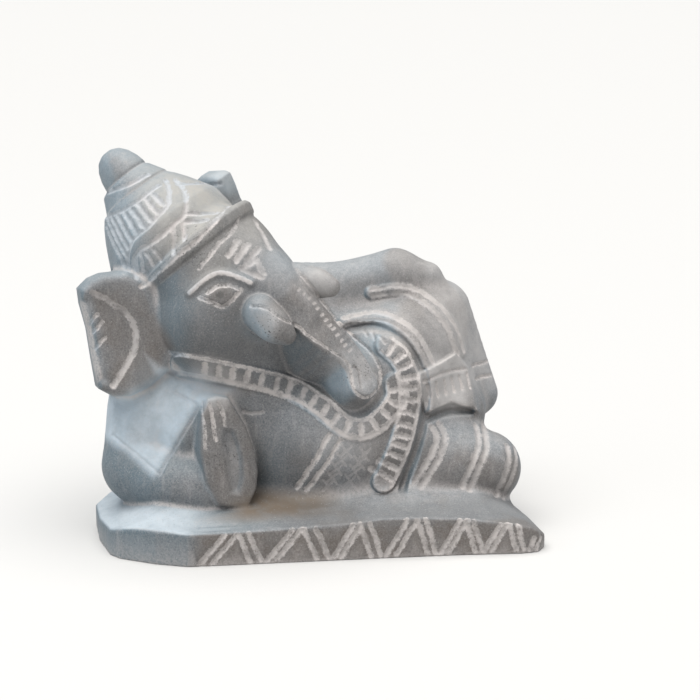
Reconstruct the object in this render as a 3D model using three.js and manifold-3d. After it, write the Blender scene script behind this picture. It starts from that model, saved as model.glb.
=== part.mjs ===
// A reclining elephant-headed figure on a low plinth, carved in one from a block of grey soapstone.
import * as THREE from "three";
import Module from "manifold-3d";

// Lengths are millimetres and angles degrees. +X runs along the plinth towards the figure's knees,
// +Y to its back and +Z up.
const GRID = 0.7; // spacing of the samples that the carved surface is found from
const BODY_TRIANGLES = 6000; // left after the surface is thinned, before the lines are cut
const TRIANGLES = 9600; // left in all
const RELIEF_EDGE = 0.9; // width of the slope at the side of a raised or sunk band
const CUT = { half: 0.55, depth: 0.5, lift: 0.4, pace: 1, slack: 0.12 }; // a carver's line

// The carver's view: the side that the relief and the cut lines are drawn on
const VIEW = { turn: -8, rise: 12, middle: [9.5, 0, 43.6], back: -8 };
// The head lies over by tilt in that view and looks round by turn
const HEAD = { brim: [-26.9, 3, 69.6], tilt: 40, turn: 43 };

const PLINTH = {
  // plan, from the front left corner round by the right
  plan: [
    [-31.3, -27.2], [10, -27.4], [30, -27.6], [46, -28.6], [50, -28], [52.4, -24.5], [51, -19], [48.4, -11],
    [47.2, 20], [44.5, 26.5], [-36, 26.5], [-44.5, 20.5], [-49.4, 13], [-52.3, 6.5], [-51.4, -5.5], [-48.9, -16.2],
    [-46.7, -19.2], [-38.6, -24.3],
  ],
  // height of the front edge along X
  height: [[-54, 5.2], [-46, 7], [-36, 7.9], [-31, 7.8], [-18, 8], [-6, 8.4], [7.6, 9], [13, 9.7], [21, 9.6],
    [33, 8.9], [44, 7.4], [48, 6.4], [50, 5.3], [52, 3.6]],
  rise: 3.3, // how much higher the top is where the figure sits
  edge: 0.7,
};

const rad = (a) => (a * Math.PI) / 180;
const add = (a, b, k = 1) => [a[0] + k * b[0], a[1] + k * b[1], a[2] + k * b[2]];
const scale = (a, k) => [a[0] * k, a[1] * k, a[2] * k];
const dot = (a, b) => a[0] * b[0] + a[1] * b[1] + a[2] * b[2];
const cross = (a, b) => [a[1] * b[2] - a[2] * b[1], a[2] * b[0] - a[0] * b[2], a[0] * b[1] - a[1] * b[0]];
const unit = (a) => scale(a, 1 / Math.hypot(...a));
const between = (a, lo, hi) => Math.min(hi, Math.max(lo, a));
const ease = (t) => t * t * (3 - 2 * t);

function along(table, x) {
  if (x <= table[0][0]) return table[0][1];
  for (let i = 1; i < table.length; i++)
    if (x <= table[i][0]) {
      const [x0, y0] = table[i - 1], [x1, y1] = table[i];
      return y0 + ((y1 - y0) * (x - x0)) / (x1 - x0);
    }
  return table[table.length - 1][1];
}

// A frame is three unit vectors: across, facing and long
const view = (() => {
  const a = rad(VIEW.turn), e = rad(VIEW.rise);
  const facing = [Math.sin(a) * Math.cos(e), -Math.cos(a) * Math.cos(e), Math.sin(e)];
  const across = [Math.cos(a), Math.sin(a), 0];
  return [across, facing, cross(across, scale(facing, -1))];
})();
const head = (() => {
  const t = rad(HEAD.tilt), h = rad(HEAD.turn);
  const crown = add(scale(view[0], -Math.sin(t)), view[2], Math.cos(t));
  const over = add(scale(view[0], Math.cos(t)), view[2], Math.sin(t));
  return [
    add(scale(view[1], Math.sin(h)), over, -Math.cos(h)),
    add(scale(view[1], Math.cos(h)), over, Math.sin(h)),
    crown,
  ];
})();
const out = (frame, p) => add(add(scale(frame[0], p[0]), frame[1], p[1]), frame[2], p[2]);
const onHead = (p) => [...add(HEAD.brim, out(head, p)), ...p.slice(3)];
function facing(normal, long) {
  const n = unit(normal), t = unit(add(long, n, -dot(long, n)));
  return [cross(n, t), n, t];
}
function leaning(angle) {
  const a = rad(angle);
  return [[Math.cos(a), 0, -Math.sin(a)], [0, 1, 0], [Math.sin(a), 0, Math.cos(a)]];
}

// Each form holds its distance function, negative inside, and a ball that it lies in
function egg(centre, radii, frame = leaning(0)) {
  const [cx, cy, cz] = centre, [a, b, c] = radii, [u, v, w] = frame;
  const distance = (x, y, z) => {
    const dx = x - cx, dy = y - cy, dz = z - cz;
    const p = (u[0] * dx + u[1] * dy + u[2] * dz) / a;
    const q = (v[0] * dx + v[1] * dy + v[2] * dz) / b;
    const r = (w[0] * dx + w[1] * dy + w[2] * dz) / c;
    const k = Math.hypot(p, q, r);
    return (k * (k - 1)) / Math.max(Math.hypot(p / a, q / b, r / c), 1e-9);
  };
  return { distance, centre, reach: Math.max(...radii) };
}

// A smooth curve through points of any number of values
function curve(points, steps) {
  const n = points.length, all = [
    points[0].map((v, i) => 2 * v - points[1][i]), ...points,
    points[n - 1].map((v, i) => 2 * v - points[n - 2][i]),
  ];
  const made = [];
  for (let i = 1; i < n; i++)
    for (let s = 0; s < steps; s++) {
      const t = s / steps, [a, b, c, d] = all.slice(i - 1, i + 3);
      made.push(b.map((_, k) => 0.5 * (2 * b[k] + (c[k] - a[k]) * t + (2 * a[k] - 5 * b[k] + 4 * c[k] - d[k]) * t * t
        + (3 * b[k] - a[k] - 3 * c[k] + d[k]) * t ** 3)));
    }
  made.push([...points[n - 1]]);
  return made;
}

// A round limb through points of x, y, z and radius
function limb(points, steps = 5) {
  const line = points.length > 2 ? curve(points, steps) : points;
  const distance = (x, y, z) => {
    let best = 1e9;
    for (let i = 1; i < line.length; i++) {
      const a = line[i - 1], b = line[i];
      const ex = b[0] - a[0], ey = b[1] - a[1], ez = b[2] - a[2];
      const t = between(((x - a[0]) * ex + (y - a[1]) * ey + (z - a[2]) * ez) / (ex * ex + ey * ey + ez * ez), 0, 1);
      const d = Math.hypot(x - a[0] - t * ex, y - a[1] - t * ey, z - a[2] - t * ez) - a[3] - (b[3] - a[3]) * t;
      if (d < best) best = d;
    }
    return best;
  };
  const lo = [0, 1, 2].map((k) => Math.min(...line.map((p) => p[k])));
  const hi = [0, 1, 2].map((k) => Math.max(...line.map((p) => p[k])));
  const centre = scale(add(lo, hi), 0.5);
  const reach = Math.max(...line.map((p) => Math.hypot(p[0] - centre[0], p[1] - centre[1], p[2] - centre[2]) + p[3]));
  return { distance, centre, reach };
}

// Distance in the plane to a closed outline, negative inside
function outlineDistance(outline, x, y) {
  let best = 1e18, inside = false;
  for (let i = 0, n = outline.length; i < n; i++) {
    const [ax, ay] = outline[i], [bx, by] = outline[(i + 1) % n];
    const ex = bx - ax, ey = by - ay, wx = x - ax, wy = y - ay;
    const t = between((wx * ex + wy * ey) / (ex * ex + ey * ey), 0, 1);
    best = Math.min(best, (wx - ex * t) ** 2 + (wy - ey * t) ** 2);
    if (ay > y !== by > y && x < ax + (wy * ex) / ey) inside = !inside;
  }
  return inside ? -Math.sqrt(best) : Math.sqrt(best);
}
const rounded = (a, b, r) => Math.min(Math.max(a + r, b + r), 0)
  + Math.hypot(Math.max(a + r, 0), Math.max(b + r, 0)) - r;

// A slab cut to an outline, drawn across and along its frame, its face hollowed by dish
function slab(centre, frame, outline, thickness, edge, dish = 0) {
  const distance = (x, y, z) => {
    const d = [x - centre[0], y - centre[1], z - centre[2]];
    const u = dot(d, frame[0]), n = dot(d, frame[1]), v = dot(d, frame[2]);
    return rounded(outlineDistance(outline, u, v), Math.abs(n - dish * (u * u + v * v)) - thickness / 2, edge);
  };
  return { distance, centre, reach: Math.max(...outline.map((p) => Math.hypot(...p))) + thickness };
}

// A flat face given by its corners, anticlockwise from outside, and how far it goes in
function wedge(corners, depth, edge) {
  const n = unit(cross(add(corners[1], corners[0], -1), add(corners[2], corners[0], -1)));
  const middle = scale(corners.reduce((a, b) => add(a, b)), 1 / corners.length);
  const centre = add(middle, n, -depth / 2), frame = facing(n, [0, 0, 1]);
  const outline = corners.map((c) => [dot(add(c, centre, -1), frame[0]), dot(add(c, centre, -1), frame[2])]);
  return slab(centre, frame, outline, depth, edge);
}

// A form turned about the third vector of its frame: profile of radius and height
function turned(foot, frame, profile, offset) {
  const closed = [[0, profile[0][1]], ...profile, ...profile.map(([r, h]) => [-r, h]).reverse()];
  const distance = (x, y, z) => {
    const d = [x - foot[0], y - foot[1], z - foot[2]];
    return outlineDistance(closed, Math.hypot(dot(d, frame[0]), dot(d, frame[1]) - offset), dot(d, frame[2]));
  };
  const lo = profile[0][1], hi = profile[profile.length - 1][1];
  const centre = add(add(foot, frame[2], (lo + hi) / 2), frame[1], offset);
  return { distance, centre, reach: Math.hypot(Math.max(...profile.map((p) => p[0])), (hi - lo) / 2) };
}

// A band seen face on: its middle line holds across, long, half width and how far out its face is
function band(foot, frame, points, back, edge) {
  const line = curve(points, 4);
  const distance = (x, y, z) => {
    const d = [x - foot[0], y - foot[1], z - foot[2]];
    const s = dot(d, frame[0]), f = dot(d, frame[1]), a = dot(d, frame[2]);
    let best = 1e9, face = 0;
    for (let i = 1; i < line.length; i++) {
      const p = line[i - 1], q = line[i], es = q[0] - p[0], ea = q[1] - p[1];
      const t = between(((s - p[0]) * es + (a - p[1]) * ea) / (es * es + ea * ea), 0, 1);
      const gap = Math.hypot(s - p[0] - t * es, a - p[1] - t * ea) - p[2] - (q[2] - p[2]) * t;
      if (gap < best) [best, face] = [gap, p[3] + (q[3] - p[3]) * t];
    }
    return rounded(best, Math.max(f - face, back - f), edge);
  };
  const mid = points[points.length >> 1];
  const centre = add(foot, out(frame, [mid[0], (back + mid[3]) / 2, mid[1]]));
  const reach = Math.max(...points.map((p) => Math.hypot(p[0] - mid[0], p[1] - mid[1]) + p[2])) + mid[3];
  return { distance, centre, reach };
}

function plinthTop(x, y) {
  const inward = ease(between((y + 27) / 14, 0, 1)) * between((48 - Math.abs(x)) / 10, 0, 1);
  return along(PLINTH.height, x) + PLINTH.rise * inward;
}
const plinth = {
  distance: (x, y, z) => rounded(outlineDistance(PLINTH.plan, x, y), Math.max(z - plinthTop(x, y), -2 - z), PLINTH.edge),
  centre: [0, 0, 5],
  reach: 62,
};

// The forms of the figure in the order they are joined, each with the width of its fillet
const UP = [0, 0, 1];
const palmFrame = facing([0.2, -0.97, 0.1], view[2]);
const earFrame = facing([0.15, -0.98, 0.1], view[2]);
const farEarFrame = facing(out(head, [-1, 0, 0]), head[2]);
const EAR = [
  [10.3, 10.3], [8, 12.7], [5.3, 13.9], [-0.5, 14.6], [-5.9, 11.7], [-9.3, 4.7], [-12.7, -2.3], [-10.9, -7.7],
  [-6.7, -11.7], [-2.1, -14.3], [2.1, -14.5], [5.6, -12.6], [6.9, -5.8], [8.1, 1.1], [9.8, 6.9],
];
const FAR_EAR = [
  [7.5, 5.6], [9.2, 8.6], [10.6, 11.8], [9.6, 13.2], [5.4, 15.8], [2.5, 15.8], [-3, 13.8], [-6.6, 9.5], [-7.6, 1],
  [-7, -7], [-3.5, -12], [1.5, -12], [5, -7], [6.2, 0],
];
const PALM = [
  [5.4, 12.9], [3.2, 13.6], [0.6, 13.1], [-1.9, 9.4], [-3.9, 6.3], [-6.3, 0.3], [-7.1, -4.4], [-6.8, -8.4],
  [-4.7, -13.1], [2.3, -12], [5.3, -6.5], [6.7, 0.6], [6.7, 9.5],
];
const CROWN = {
  cap: [[16, -6], [16.5, 3], [16, 8], [14.4, 11], [12.7, 14], [10.9, 16.7], [9.3, 18.6]],
  brim: [[14.2, -4], [15.8, -2.8], [16.4, -0.8], [15.9, 0.3], [13.6, 0.8]],
  ring: [[8.6, 17.5], [9, 18.6], [6.9, 22.4], [5.7, 23]],
  knob: [[5.2, 22], [5.8, 23.4], [5.4, 25.5], [4.5, 27.8], [3.2, 29.5], [1.6, 30.4]],
};
const STEPS = [
  [plinth, 0],
  // chest, belly, hips and back
  [egg([-21.2, 5, 27.7], [26.6, 17.5, 17.5], leaning(8)), 2],
  [egg([1.9, 2, 21.4], [24, 19, 20]), 5],
  [limb([[-1.6, 6, 20.2, 19], [22, 5, 18.5, 18.5]]), 6],
  [limb([[-4.9, 11.5, 41.2, 13], [21.4, 11.5, 41.7, 13]]), 5],
  // right arm, leaning on the plinth
  [limb([[-37.2, 3, 35, 10.2], [-40.8, 1, 26.5, 8.3], [-41.5, -1, 17.8, 8.7]]), 3],
  [limb([[-41.2, -2, 16.8, 8.5], [-34.1, -9, 14.9, 6.8], [-25.9, -12.5, 13.3, 5.5]]), 2],
  [limb([[-33.9, -6, 17.5, 3.2], [-25.6, -11.5, 34, 2.4]]), 4],
  [limb([[-25.5, -10, 15.6, 7], [-34, -7, 16.3, 5]]), 3],
  [wedge([[-36.6, -6, 16], [-25.2, -15, 9.5], [-25.9, -13.6, 35.6]], 9, 0.7), 1],
  [slab([-21.6, -14, 23.1], palmFrame, PALM, 7, 0.8), 1.2],
  [egg([-18.9, -8.4, 17.6], [3.6, 5.6, 7.6]), 2],
  // neck and head
  [limb([onHead([0, -2, -18, 15]), [-16.9, 3, 31.3, 15]]), 3],
  [egg(onHead([0, -1, -7]), [15.6, 16.2, 15], head), 2],
  [egg(onHead([4, -1, -16]), [18.5, 14, 12.5], head), 6],
  [egg(onHead([0, 8, -17]), [9, 7.5, 9], head), 4],
  // trunk
  [limb([[0, 9.5, -12, 7], [0.3, 10.5, -21, 6.6], [0.2, 10.5, -30, 5]].map(onHead)), 2.5],
  [band(HEAD.brim, head, [[0.2, -24, 5.8, 14.4], [-0.8, -35, 5.2, 14.4], [-2.9, -42, 4, 13.5], [-3.4, -46, 3.8, 12.6],
    [-2.3, -50.3, 4.2, 11.8]], 0, 0.9), 1.2],
  // near tusk
  [limb([[8.9, 11.8, -22.8, 4.2], [8.8, 12.6, -27.3, 3.9], [8.5, 13.4, -30.8, 2.3]].map(onHead)), 0.8],
  // crown
  [turned(HEAD.brim, head, CROWN.cap, -5.6), 0.8],
  [turned(HEAD.brim, head, CROWN.brim, -0.2), 0.5],
  [turned(HEAD.brim, head, CROWN.ring, -4.6), 0.3],
  [turned(HEAD.brim, head, CROWN.knob, -3.6), 0.4],
  // ears
  [egg([-40, 1, 48], [9, 8, 10]), 3],
  [slab([-44.8, -4.8, 50.1], earFrame, EAR, 10, 2.2), 2.5],
  [slab(onHead([-17.5, -6, -2.7]), farEarFrame, FAR_EAR, 6, 1.8), 1.2],
  // left leg, its knee raised
  [limb([[14.3, 2, 27.5, 15], [22, 4, 39.8, 13], [29.4, 10, 48.7, 10.2]]), 4],
  [limb([[33.4, 12, 50, 8.2], [39.4, 12, 37.6, 6.4], [43, 11, 29.2, 5.6]]), 2],
  [limb([[30.7, 8, 41.2, 9], [33.8, 4, 26.8, 10]]), 4],
  // left arm, its hand on the knee
  [limb([[-4.7, 14, 54, 9], [8.9, 13, 56.1, 7], [22, 11.5, 59.6, 6.4]]), 4.5],
  [limb([[23.3, 10.5, 59.6, 5], [30, 8.5, 59.7, 3.4]]), 4],
  // far tusk, lying against that arm
  [limb([[-5.9, 12.4, -22.1, 4], [-8, 14.7, -25.6, 3.6], [-9.2, 16.2, -28.4, 2.4]].map(onHead)), 0.8],
  // right leg, folded on the plinth
  [limb([[21.8, -1, 13.8, 11.5], [32.4, -4, 15, 11.5], [41.9, -5, 14.4, 9]]), 3],
];

// Middle lines of the raised bands and of the cut lines, in millimetres across and up the carver's view
const NECKLACE = [[-38.8, -3.5], [-30, -5], [-17.7, -7.8], [-11.5, -10.1], [-6.5, -13.3], [-3.5, -15.9], [-0.5, -18],
  [3.3, -18.5], [6.3, -17.1], [9.2, -14.4], [11.1, -11.3], [10.9, -8]];
const BELT = [[8.6, 1.2], [11.8, -1.7], [14, -6.6], [14.2, -13], [12.5, -20.8], [10.8, -25.3], [9, -29.3], [8, -31]];
const HEMS = [
  [[5.3, 13.9], [11.7, 14.6], [16.3, 13.6], [21.3, 9.9], [24.7, 5.6], [27, -0.5]],
  [[-1.2, 6.8], [3.9, 8], [8.4, 7.8], [12.9, 5.5], [16.2, 2.1], [19.1, -3.3]],
];
const STRIPES = [
  [[20.5, -17.9], [21.7, -20.7], [20.9, -24], [19, -27.5], [15.9, -32]],
  [[31.6, -18.2], [31.8, -23], [30.5, -26.4], [27.6, -32.8]],
  [[39, -23], [39.3, -27], [38, -30.7], [36.1, -35.3]],
];
const BROW = [[-36.3, 12.9], [-32.9, 15.8], [-30.4, 17.2], [-27.9, 17.3], [-25, 16.4], [-22.5, 15.2]];
const PLEATS = [[15.4, -5.9], [21.6, -2.9], [25.7, -0.5], [28.8, -4.4], [30.2, -9.8], [31.2, -15.1], [24.6, -12.8],
  [18.1, -15.2]];
const PALM_HOLLOW = [[-28.7, -18.4], [-27.3, -18.7], [-26, -21.5], [-25.1, -25.4], [-25, -30], [-25.9, -33.2],
  [-27.3, -32.8], [-28.2, -28.9], [-28.6, -24.1], [-28.9, -20.5]];

// Bands by their half width and height, then areas by their height; a height below 0 is sunk
const BANDS = [
  { line: NECKLACE, half: 2.7, height: 0.9 },
  { line: BELT, half: 2.7, height: 1 },
  { line: HEMS[0], half: 1.5, height: 0.6 },
  { line: HEMS[1], half: 1.5, height: 0.7 },
  { line: BROW, half: 1.2, height: 0.8 },
  { line: [[0, 5.1], [5.3, 5.5], [9.5, 4], [12.8, 1.7], [15.4, -1.9], [17.1, -5.9]], half: 0.9, height: -0.8 },
  { line: [[17.6, -5.2], [18.2, -10.7], [17.4, -17.8], [15.6, -24.2], [14, -28.4], [12.5, -33.1]], half: 0.9, height: -1 },
  { line: [[17.9, -16.9], [21.1, -15.6], [24.3, -14.8], [29.3, -14.7]], half: 0.8, height: -1 },
  { area: PLEATS, height: 1.3 },
  { area: PALM_HOLLOW, height: -1.3 },
].map((b) => {
  const line = b.line && curve(b.line, 4), points = line || b.area, m = (b.half || 0) + RELIEF_EDGE;
  const [lo, hi] = [[Math.min, -m], [Math.max, m]].map(([f, more]) => [0, 1].map((k) => f(...points.map((p) => p[k])) + more));
  return { ...b, line, lo, hi };
});
function lineDistance(line, u, v) {
  let best = 1e18;
  for (let i = 1; i < line.length; i++) {
    const [ax, ay] = line[i - 1], ex = line[i][0] - ax, ey = line[i][1] - ay;
    const t = between(((u - ax) * ex + (v - ay) * ey) / (ex * ex + ey * ey), 0, 1);
    best = Math.min(best, (u - ax - ex * t) ** 2 + (v - ay - ey * t) ** 2);
  }
  return Math.sqrt(best);
}
const onView = (p) => view.map((axis) => dot(add(p, VIEW.middle, -1), axis));
function relief(p) {
  const [u, w, v] = onView(p);
  let up = 0, down = 0;
  if (w < VIEW.back) return 0;
  for (const { line, area, half, height, lo, hi } of BANDS) {
    if (u < lo[0] || u > hi[0] || v < lo[1] || v > hi[1]) continue;
    const inside = area ? -outlineDistance(area, u, v) : half - lineDistance(line, u, v);
    const h = height * ease(between(inside / RELIEF_EDGE + 0.5, 0, 1));
    up = Math.max(up, h);
    down = Math.min(down, h);
  }
  return up + down;
}

const join = (a, b, k) => {
  const h = k > 0 ? Math.max(k - Math.abs(a - b), 0) / k : 0;
  return Math.min(a, b) - h * h * k * 0.25;
};
function figure(x, y, z) {
  let d = 60;
  for (const [form, fillet] of STEPS) {
    const c = form.centre;
    const nearest = Math.hypot(x - c[0], y - c[1], z - c[2]) - form.reach;
    if (nearest < d + fillet) d = join(d, form.distance(x, y, z), fillet);
  }
  return d;
}
function stone(x, y, z) {
  const d = figure(x, y, z);
  return Math.abs(d) < 3 ? d - relief([x, y, z]) : d;
}

// Where only opposite corners of a square of samples, or of a cube, are stone, the surface would touch
// itself, so the empty sample nearest the surface there is filled
function settle(values, [nx, ny, nz], at) {
  const squares = [[0, 1, 3, 2], [4, 5, 7, 6], [0, 1, 5, 4], [2, 3, 7, 6], [0, 2, 6, 4], [1, 3, 7, 5]];
  const opposite = [[0, 7], [1, 6], [2, 5], [3, 4]];
  for (let again = true; again; ) {
    again = false;
    for (let i = 0; i < nx - 1; i++)
      for (let j = 0; j < ny - 1; j++)
        for (let k = 0; k < nz - 1; k++) {
          let count = 0;
          for (let b = 0; b < 8; b++) if (values[at(i + (b >> 2), j + ((b >> 1) & 1), k + (b & 1))] < 0) count++;
          if (count < 2 || count > 6) continue;
          const c = [0, 1, 2, 3, 4, 5, 6, 7].map((b) => at(i + (b >> 2), j + ((b >> 1) & 1), k + (b & 1)));
          const full = (m) => values[c[m]] < 0;
          const fill = (corners) => {
            const empty = corners.filter((m) => !full(m));
            values[c[empty.reduce((a, b) => (values[c[a]] < values[c[b]] ? a : b))]] = -1e-3;
            again = true;
          };
          for (const q of squares)
            if (full(q[0]) === full(q[2]) && full(q[1]) === full(q[3]) && full(q[0]) !== full(q[1])) fill(q);
          for (const [p, q] of opposite) {
            const same = [0, 1, 2, 3, 4, 5, 6, 7].filter((m) => full(m) === full(p)).length;
            if (same === 2 && full(q) === full(p)) fill([0, 1, 2, 3, 4, 5, 6, 7]);
          }
        }
  }
}

// The surface of the stone as one vertex in each cell it crosses, joined by four-sided faces
function surface(distance, lo, hi, step) {
  const n = lo.map((v, k) => Math.ceil((hi[k] - v) / step) + 1);
  const [nx, ny, nz] = n, at = (i, j, k) => (i * ny + j) * nz + k;
  const values = new Float64Array(nx * ny * nz);
  for (let i = 0; i < nx; i++)
    for (let j = 0; j < ny; j++)
      for (let k = 0; k < nz; ) {
        const d = distance(lo[0] + i * step, lo[1] + j * step, lo[2] + k * step);
        const skip = Math.max(1, Math.floor((Math.abs(d) * 0.55) / step));
        for (let s = 0; s < skip && k < nz; s++, k++) values[at(i, j, k)] = s ? Math.sign(d) * 9 : d;
      }
  settle(values, n, at);
  const points = [], index = new Int32Array(values.length).fill(-1);
  const corners = [0, 1, 2, 3, 4, 5, 6, 7].map((c) => [c >> 2, (c >> 1) & 1, c & 1]);
  const edges = [];
  corners.forEach((a, p) => corners.forEach((b, q) => {
    if (p < q && Math.abs(a[0] - b[0]) + Math.abs(a[1] - b[1]) + Math.abs(a[2] - b[2]) === 1) edges.push([p, q]);
  }));
  for (let i = 0; i < nx - 1; i++)
    for (let j = 0; j < ny - 1; j++)
      for (let k = 0; k < nz - 1; k++) {
        const v = corners.map((c) => values[at(i + c[0], j + c[1], k + c[2])]);
        const sum = [0, 0, 0];
        let count = 0;
        for (const [a, b] of edges)
          if (v[a] < 0 !== v[b] < 0) {
            const t = v[a] / (v[a] - v[b]);
            for (let m = 0; m < 3; m++) sum[m] += corners[a][m] + t * (corners[b][m] - corners[a][m]);
            count++;
          }
        if (!count) continue;
        index[at(i, j, k)] = points.length;
        points.push([i, j, k].map((c, m) => lo[m] + step * (c + sum[m] / count)));
      }
  const faces = [];
  const cell = [nx, ny, nz];
  for (let i = 1; i < nx - 1; i++)
    for (let j = 1; j < ny - 1; j++)
      for (let k = 1; k < nz - 1; k++)
        for (let axis = 0; axis < 3; axis++) {
          const here = [i, j, k], next = [i, j, k];
          next[axis]++;
          if (next[axis] >= cell[axis] - 1) continue;
          const a = values[at(...here)] < 0, b = values[at(...next)] < 0;
          if (a === b) continue;
          const u = (axis + 1) % 3, v = (axis + 2) % 3;
          const ring = [[-1, -1], [0, -1], [0, 0], [-1, 0]].map(([du, dv]) => {
            const c = [i, j, k];
            c[u] += du;
            c[v] += dv;
            return index[at(...c)];
          });
          faces.push(a ? ring : ring.reverse());
        }
  return { points, faces };
}

// Each four-sided face as two triangles, across its shorter diagonal
function triangles({ points, faces }) {
  const span = (a, b) => (points[a][0] - points[b][0]) ** 2 + (points[a][1] - points[b][1]) ** 2 + (points[a][2] - points[b][2]) ** 2;
  const made = [];
  for (const [a, b, c, d] of faces)
    if (span(a, c) < span(b, d)) made.push([a, b, c], [a, c, d]);
    else made.push([a, b, d], [b, c, d]);
  return { points, faces: made };
}

// Thins the mesh by joining, again and again, the edge whose loss moves the surface least
function thinned({ points, faces }, target) {
  const quadric = points.map(() => new Float64Array(10));
  const ring = points.map(() => new Set());
  const alive = faces.map(() => true);
  const plane = ([a, b, c]) => {
    const n = cross(add(points[b], points[a], -1), add(points[c], points[a], -1));
    const area = Math.hypot(...n);
    return { n: area > 1e-12 ? scale(n, 1 / area) : [0, 0, 0], area };
  };
  faces.forEach((face, f) => {
    const { n, area } = plane(face), d = -dot(n, points[face[0]]), p = [...n, d];
    for (const v of face) {
      ring[v].add(f);
      for (let i = 0, m = 0; i < 4; i++) for (let j = i; j < 4; j++) quadric[v][m++] += p[i] * p[j] * area;
    }
  });
  const cost = (q, [x, y, z]) => q[0] * x * x + 2 * q[1] * x * y + 2 * q[2] * x * z + 2 * q[3] * x + q[4] * y * y
    + 2 * q[5] * y * z + 2 * q[6] * y + q[7] * z * z + 2 * q[8] * z + q[9];
  const best = (q, a, b) => {
    // the point of least cost, or the cheapest of the ends and the middle where that point is not settled
    const [m, s, t] = [[q[0], q[1], q[2]], [q[1], q[4], q[5]], [q[2], q[5], q[7]]];
    const det = dot(m, cross(s, t)), middle = scale(add(a, b), 0.5), span = Math.hypot(...add(a, b, -1));
    if (Math.abs(det) > 1e-7) {
      const r = [-q[3], -q[6], -q[8]];
      const p = [dot(r, cross(s, t)) / det, dot(m, cross(r, t)) / det, dot(m, cross(s, r)) / det];
      if (Math.hypot(...add(p, middle, -1)) < span) return p;
    }
    return [a, b, middle].reduce((x, y) => (cost(q, x) <= cost(q, y) ? x : y));
  };
  const version = new Int32Array(points.length);
  const heap = [];
  const push = (item) => {
    let i = heap.push(item) - 1;
    while (i && heap[(i - 1) >> 1].cost > item.cost) {
      heap[i] = heap[(i - 1) >> 1];
      i = (i - 1) >> 1;
    }
    heap[i] = item;
  };
  const pop = () => {
    const top = heap[0], last = heap.pop();
    if (!heap.length) return top;
    let i = 0;
    for (;;) {
      let c = 2 * i + 1;
      if (c >= heap.length) break;
      if (c + 1 < heap.length && heap[c + 1].cost < heap[c].cost) c++;
      if (heap[c].cost >= last.cost) break;
      heap[i] = heap[c];
      i = c;
    }
    heap[i] = last;
    return top;
  };
  const offer = (a, b) => {
    const q = quadric[a].map((v, i) => v + quadric[b][i]);
    const to = best(q, points[a], points[b]);
    const span = Math.hypot(...add(points[a], points[b], -1));
    push({ a, b, to, va: version[a], vb: version[b], cost: Math.max(cost(q, to), 0) + 1e-6 * span * span });
  };
  faces.forEach((f) => [0, 1, 2].forEach((k) => f[k] < f[(k + 1) % 3] && offer(f[k], f[(k + 1) % 3])));
  const neighbours = (v) => {
    const s = new Set();
    for (const f of ring[v]) for (const w of faces[f]) if (w !== v) s.add(w);
    return s;
  };
  let left = faces.length;
  while (left > target && heap.length) {
    const { a, b, to, va, vb } = pop();
    if (version[a] !== va || version[b] !== vb) continue;
    const na = neighbours(a), nb = neighbours(b);
    let shared = 0;
    for (const v of na) if (nb.has(v)) shared++;
    if (shared !== 2) continue;
    const turns = [a, b].some((v) => [...ring[v]].some((f) => {
      const face = faces[f];
      if (face.includes(a) && face.includes(b)) return false;
      const old = plane(face).n, [p, q, r] = face.map((w) => (w === v ? to : points[w]));
      const n = cross(add(q, p, -1), add(r, p, -1)), size = Math.hypot(...n);
      const longest = Math.max(...[add(q, p, -1), add(r, p, -1), add(r, q, -1)].map((e) => dot(e, e)));
      return dot(n, old) < 0.35 * size || size < 0.02 * longest;
    }));
    if (turns) continue;
    for (const f of [...ring[b]]) {
      const face = faces[f];
      if (face.includes(a)) {
        alive[f] = false;
        left--;
        for (const w of face) ring[w].delete(f);
      } else {
        face[face.indexOf(b)] = a;
        ring[a].add(f);
      }
    }
    ring[b].clear();
    points[a] = to;
    quadric[a] = quadric[a].map((v, i) => v + quadric[b][i]);
    version[a]++;
    version[b] = -1;
    for (const w of neighbours(a)) offer(a, w);
  }
  const kept = faces.filter((_, f) => alive[f]), renamed = new Map();
  for (const v of kept.flat()) if (!renamed.has(v)) renamed.set(v, renamed.size);
  return { points: [...renamed.keys()].map((v) => points[v]), faces: kept.map((f) => f.map((v) => renamed.get(v))) };
}

const wasm = await Module();
wasm.setup();
function solid({ points, faces }) {
  return new wasm.Manifold(new wasm.Mesh({
    numProp: 3,
    vertProperties: new Float32Array(points.flat()),
    triVerts: new Uint32Array(faces.flat()),
  }));
}
function box(lo, hi) {
  const g = new THREE.BoxGeometry(...hi.map((v, k) => v - lo[k])).translate(...hi.map((v, k) => (v + lo[k]) / 2));
  const p = g.attributes.position, points = [], seen = new Map(), faces = [];
  for (let i = 0; i < g.index.count; i += 3)
    faces.push([0, 1, 2].map((k) => {
      const v = g.index.getX(i + k), at = [p.getX(v), p.getY(v), p.getZ(v)], key = at.join();
      if (!seen.has(key)) seen.set(key, points.push(at) - 1);
      return seen.get(key);
    }));
  return solid({ points, faces });
}

const body = thinned(triangles(surface(stone, [-58, -33, -4], [58, 33, 97], GRID)), BODY_TRIANGLES);
let carved = solid(body);
carved = carved.subtract(box([-80, -80, -20], [80, 80, 0]));

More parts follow.
